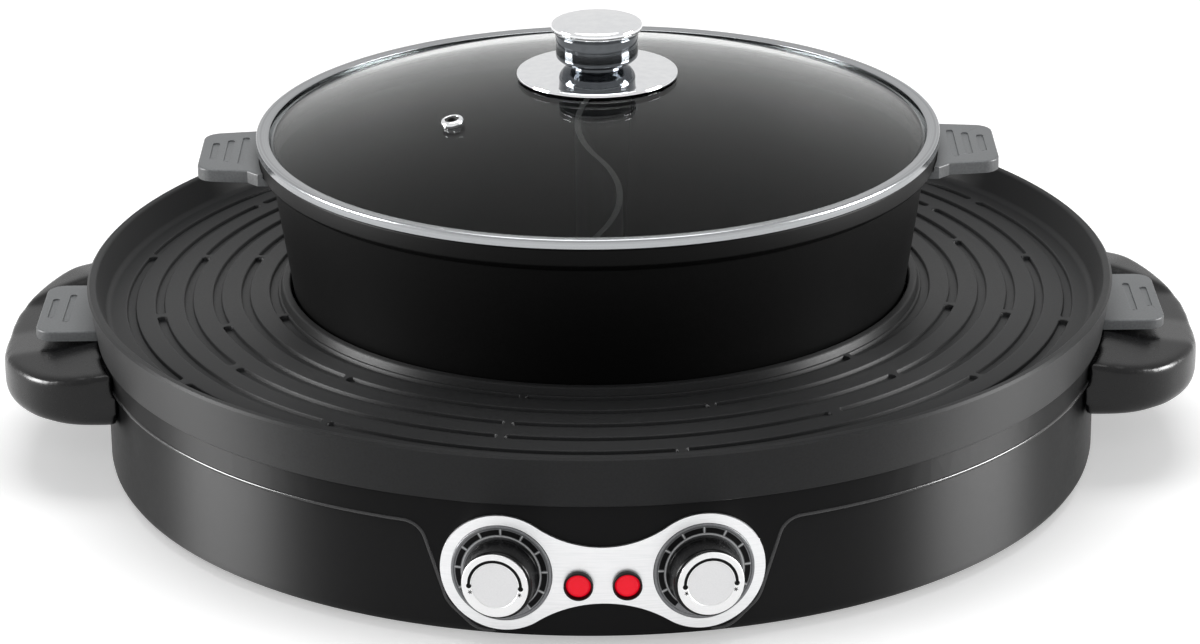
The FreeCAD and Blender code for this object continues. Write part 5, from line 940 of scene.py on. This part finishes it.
FLANGE = reach("lid_flange")
NECK_LEVEL = levels("lid_flange")[1]
EDGE_LEVEL = dome_level(FLANGE)
add_piece("flange_turned", turned([
    (3.3, GLASS_TOP + 0.2), (14.0, GLASS_TOP + 0.2), (FLANGE - 3.6, EDGE_LEVEL + 1.2),
    (FLANGE - 1.2, EDGE_LEVEL + 0.32), (FLANGE, EDGE_LEVEL + 0.8, 0.2),
    (FLANGE - 0.3, EDGE_LEVEL + 2.2, 0.5), (FLANGE - 2.4, EDGE_LEVEL + 2.5, 0.8),
    (20.0, EDGE_LEVEL + 3.45), (12.5, NECK_LEVEL, 0.5), (3.3, NECK_LEVEL)], steps=160),
    ("lid_flange",), sharp=45)
BARREL_TOP = levels("lid_knob")[1]
# The barrel takes the darker chrome, a painted dark reflection.
add_piece("knob_barrel_turned", turned([
    (3.0, NECK_LEVEL), (11.7, NECK_LEVEL), (11.7, NECK_LEVEL + 1.0, 0.4),
    (15.6, NECK_LEVEL + 1.8, 0.8), (17.7, NECK_LEVEL + 3.8, 0.8), (17.7, BARREL_TOP - 0.9, 0.3),
    (16.9, BARREL_TOP, 0.2), (3.0, BARREL_TOP)], steps=160), ("lid_knob",), sharp=45,
    surface=BARREL_CHROME_PAINTED_DARK)
CAP = reach("lid_knob_cap")
CAP_TOP = levels("lid_knob_cap")[1]
add_piece("knob_cap_turned", turned([
    (0, BARREL_TOP), (CAP - 1.6, BARREL_TOP, 0.4), (CAP, BARREL_TOP + 1.2, 0.6),
    (CAP, BARREL_TOP + 3.4, 0.6), (CAP - 1.0, CAP_TOP - 1.4, 0.6), (CAP - 3.4, CAP_TOP - 0.8, 1.0),
    (CAP / 2, CAP_TOP - 0.3), (0, CAP_TOP)], steps=160), ("lid_knob_cap",), sharp=45)

# %% [markdown]
# The steam vent is a chromed eyelet pressed through the glass, square to it, with a dark grommet
# inside.

# %% Steam vent
VENT = Vector((-61.0, -47.0))
tilt = math.asin(VENT.length / SPHERE)
lean = Matrix.Rotation(math.atan2(VENT.y, VENT.x), 4, "Z") @ Matrix.Rotation(tilt, 4, "Y")
vent_place = Matrix.Translation((VENT.x * MM, VENT.y * MM, dome_level(VENT.length) * MM)) @ lean
add_piece("vent_eyelet_turned", stand(turned([
    (3.05, -3.6), (3.6, -3.6), (3.6, 0.2), (4.9, 0.2), (4.9, 1.6, 0.4), (4.3, 2.6, 0.4),
    (3.05, 2.6, 0.15)], steps=48), vent_place), ("vent_eyelet",), sharp=45)
add_piece("vent_grommet_turned", stand(turned([
    (1.9, -3.6), (3.0, -3.6), (3.0, 2.3, 0.2), (1.9, 2.3, 0.3)], steps=48), vent_place),
    ("vent_grommet",))

# %% [markdown]
# ## The stage
# The floor and the world are white to the camera and to anything that mirrors or lets light
# through, and softer to matt surfaces, so that the object is lit at a plain level. The floor
# still takes the object's shadow.

# %% World
SOFT_LEVEL = 0.5
world = bpy.data.worlds.new("studio")
bpy.context.scene.world = world
world.use_nodes = True
world.node_tree.nodes.clear()


def seen_directly(tree):
    """1 for camera, glossy and transmission rays, else 0."""
    rays = node(tree, "ShaderNodeLightPath").outputs
    total = node(tree, "ShaderNodeMath", {0: rays["Is Camera Ray"], 1: rays["Is Glossy Ray"]},
                 operation="ADD")
    return node(tree, "ShaderNodeMath",
                {0: total.outputs["Value"], 1: rays["Is Transmission Ray"]}, operation="ADD",
                use_clamp=True).outputs["Value"]


level = node(world.node_tree, "ShaderNodeMapRange",
             {"Value": seen_directly(world.node_tree), "To Min": SOFT_LEVEL, "To Max": 1.0})
sky = node(world.node_tree, "ShaderNodeBackground", {"Strength": level.outputs["Result"]})
node(world.node_tree, "ShaderNodeOutputWorld", {"Surface": sky.outputs["Background"]})
print("matt surfaces see the world at", SOFT_LEVEL)

# %% Floor
FLOOR_GLOW = 0.42
floor_shape = bmesh.new()
bmesh.ops.create_circle(floor_shape, cap_ends=True, segments=96, radius=6.0)
floor_mesh = bpy.data.meshes.new("floor")
floor_shape.to_mesh(floor_mesh)
floor_shape.free()
floor = bpy.data.objects.new("floor", floor_mesh)
bpy.context.scene.collection.objects.link(floor)
paper = bpy.data.materials.new("matt_paper_white")
paper.use_nodes = True
paper.node_tree.nodes.clear()
glow = node(paper.node_tree, "ShaderNodeMath",
            {0: seen_directly(paper.node_tree), 1: FLOOR_GLOW}, operation="MULTIPLY")
sheet = node(paper.node_tree, "ShaderNodeBsdfPrincipled",
             {"Base Color": srgb("#ececec"), "Roughness": 0.9, "Specular IOR Level": 0.0,
              "Emission Color": srgb("#ffffff"), "Emission Strength": glow.outputs["Value"]})
node(paper.node_tree, "ShaderNodeOutputMaterial", {"Surface": sheet.outputs["BSDF"]})
floor_mesh.materials.append(paper)

# %% [markdown]
# One wide soft lamp is overhead and a small one is in front. Two reflector cards, low at the
# sides, show only in gloss: they draw the upright streaks on the drum's flanks, and leave the
# level of matt surfaces as it is.

# %% Lamps of the studio
LAMP_AIM = Vector((0, 0, 0.08))


def soft_lamp(name, place, size, watts):
    """A rectangular lamp that faces the object; place and size are in metres."""
    lamp = bpy.data.lights.new(name, "AREA")
    lamp.shape = "RECTANGLE"
    lamp.size, lamp.size_y = size
    lamp.energy = watts
    thing = bpy.data.objects.new(name, lamp)
    thing.location = place
    thing.rotation_euler = (LAMP_AIM - Vector(place)).to_track_quat("-Z", "Y").to_euler()
    bpy.context.scene.collection.objects.link(thing)
    return thing


soft_lamp("lamp_above", (0.0, 0.1, 2.1), (1.6, 1.2), 24)
soft_lamp("lamp_front", (0.0, -2.1, 1.2), (0.5, 0.7), 8).visible_glossy = False
for name, sign in (("card_left", -1), ("card_right", 1)):
    soft_lamp(name, (sign * 1.68, -0.1, 0.42), (0.8, 0.8), 68).visible_diffuse = False

# %% [markdown]
# The camera stands in front and looks down at a little over twenty degrees, from far enough
# away for a long lens.

# %% Camera
camera_data = bpy.data.cameras.new("camera")
camera_data.lens = 128.25
camera_data.sensor_width = 36.0
camera_data.clip_end = 50.0
camera = bpy.data.objects.new("camera", camera_data)
camera.location = (0, -1.7566, 0.7270)
DOWNWARD = 20.915
ROLL = -0.64
camera.matrix_world = (Matrix.Translation(camera.location)
                       @ Matrix.Rotation(math.radians(90 - DOWNWARD), 4, "X")
                       @ Matrix.Rotation(math.radians(ROLL), 4, "Z"))
bpy.context.scene.collection.objects.link(camera)
bpy.context.scene.camera = camera
bpy.context.scene.view_settings.view_transform = "Standard"

# %% [markdown]
# Last, whatever still shows as a plain CAD node gets its slot's finish.

# %% Finishes for the CAD nodes
for name, thing in frame["nodes"].items():
    surface = FINISHES[SLOT_OF[name]]
    for place in thing.material_slots:
        place.material = surface
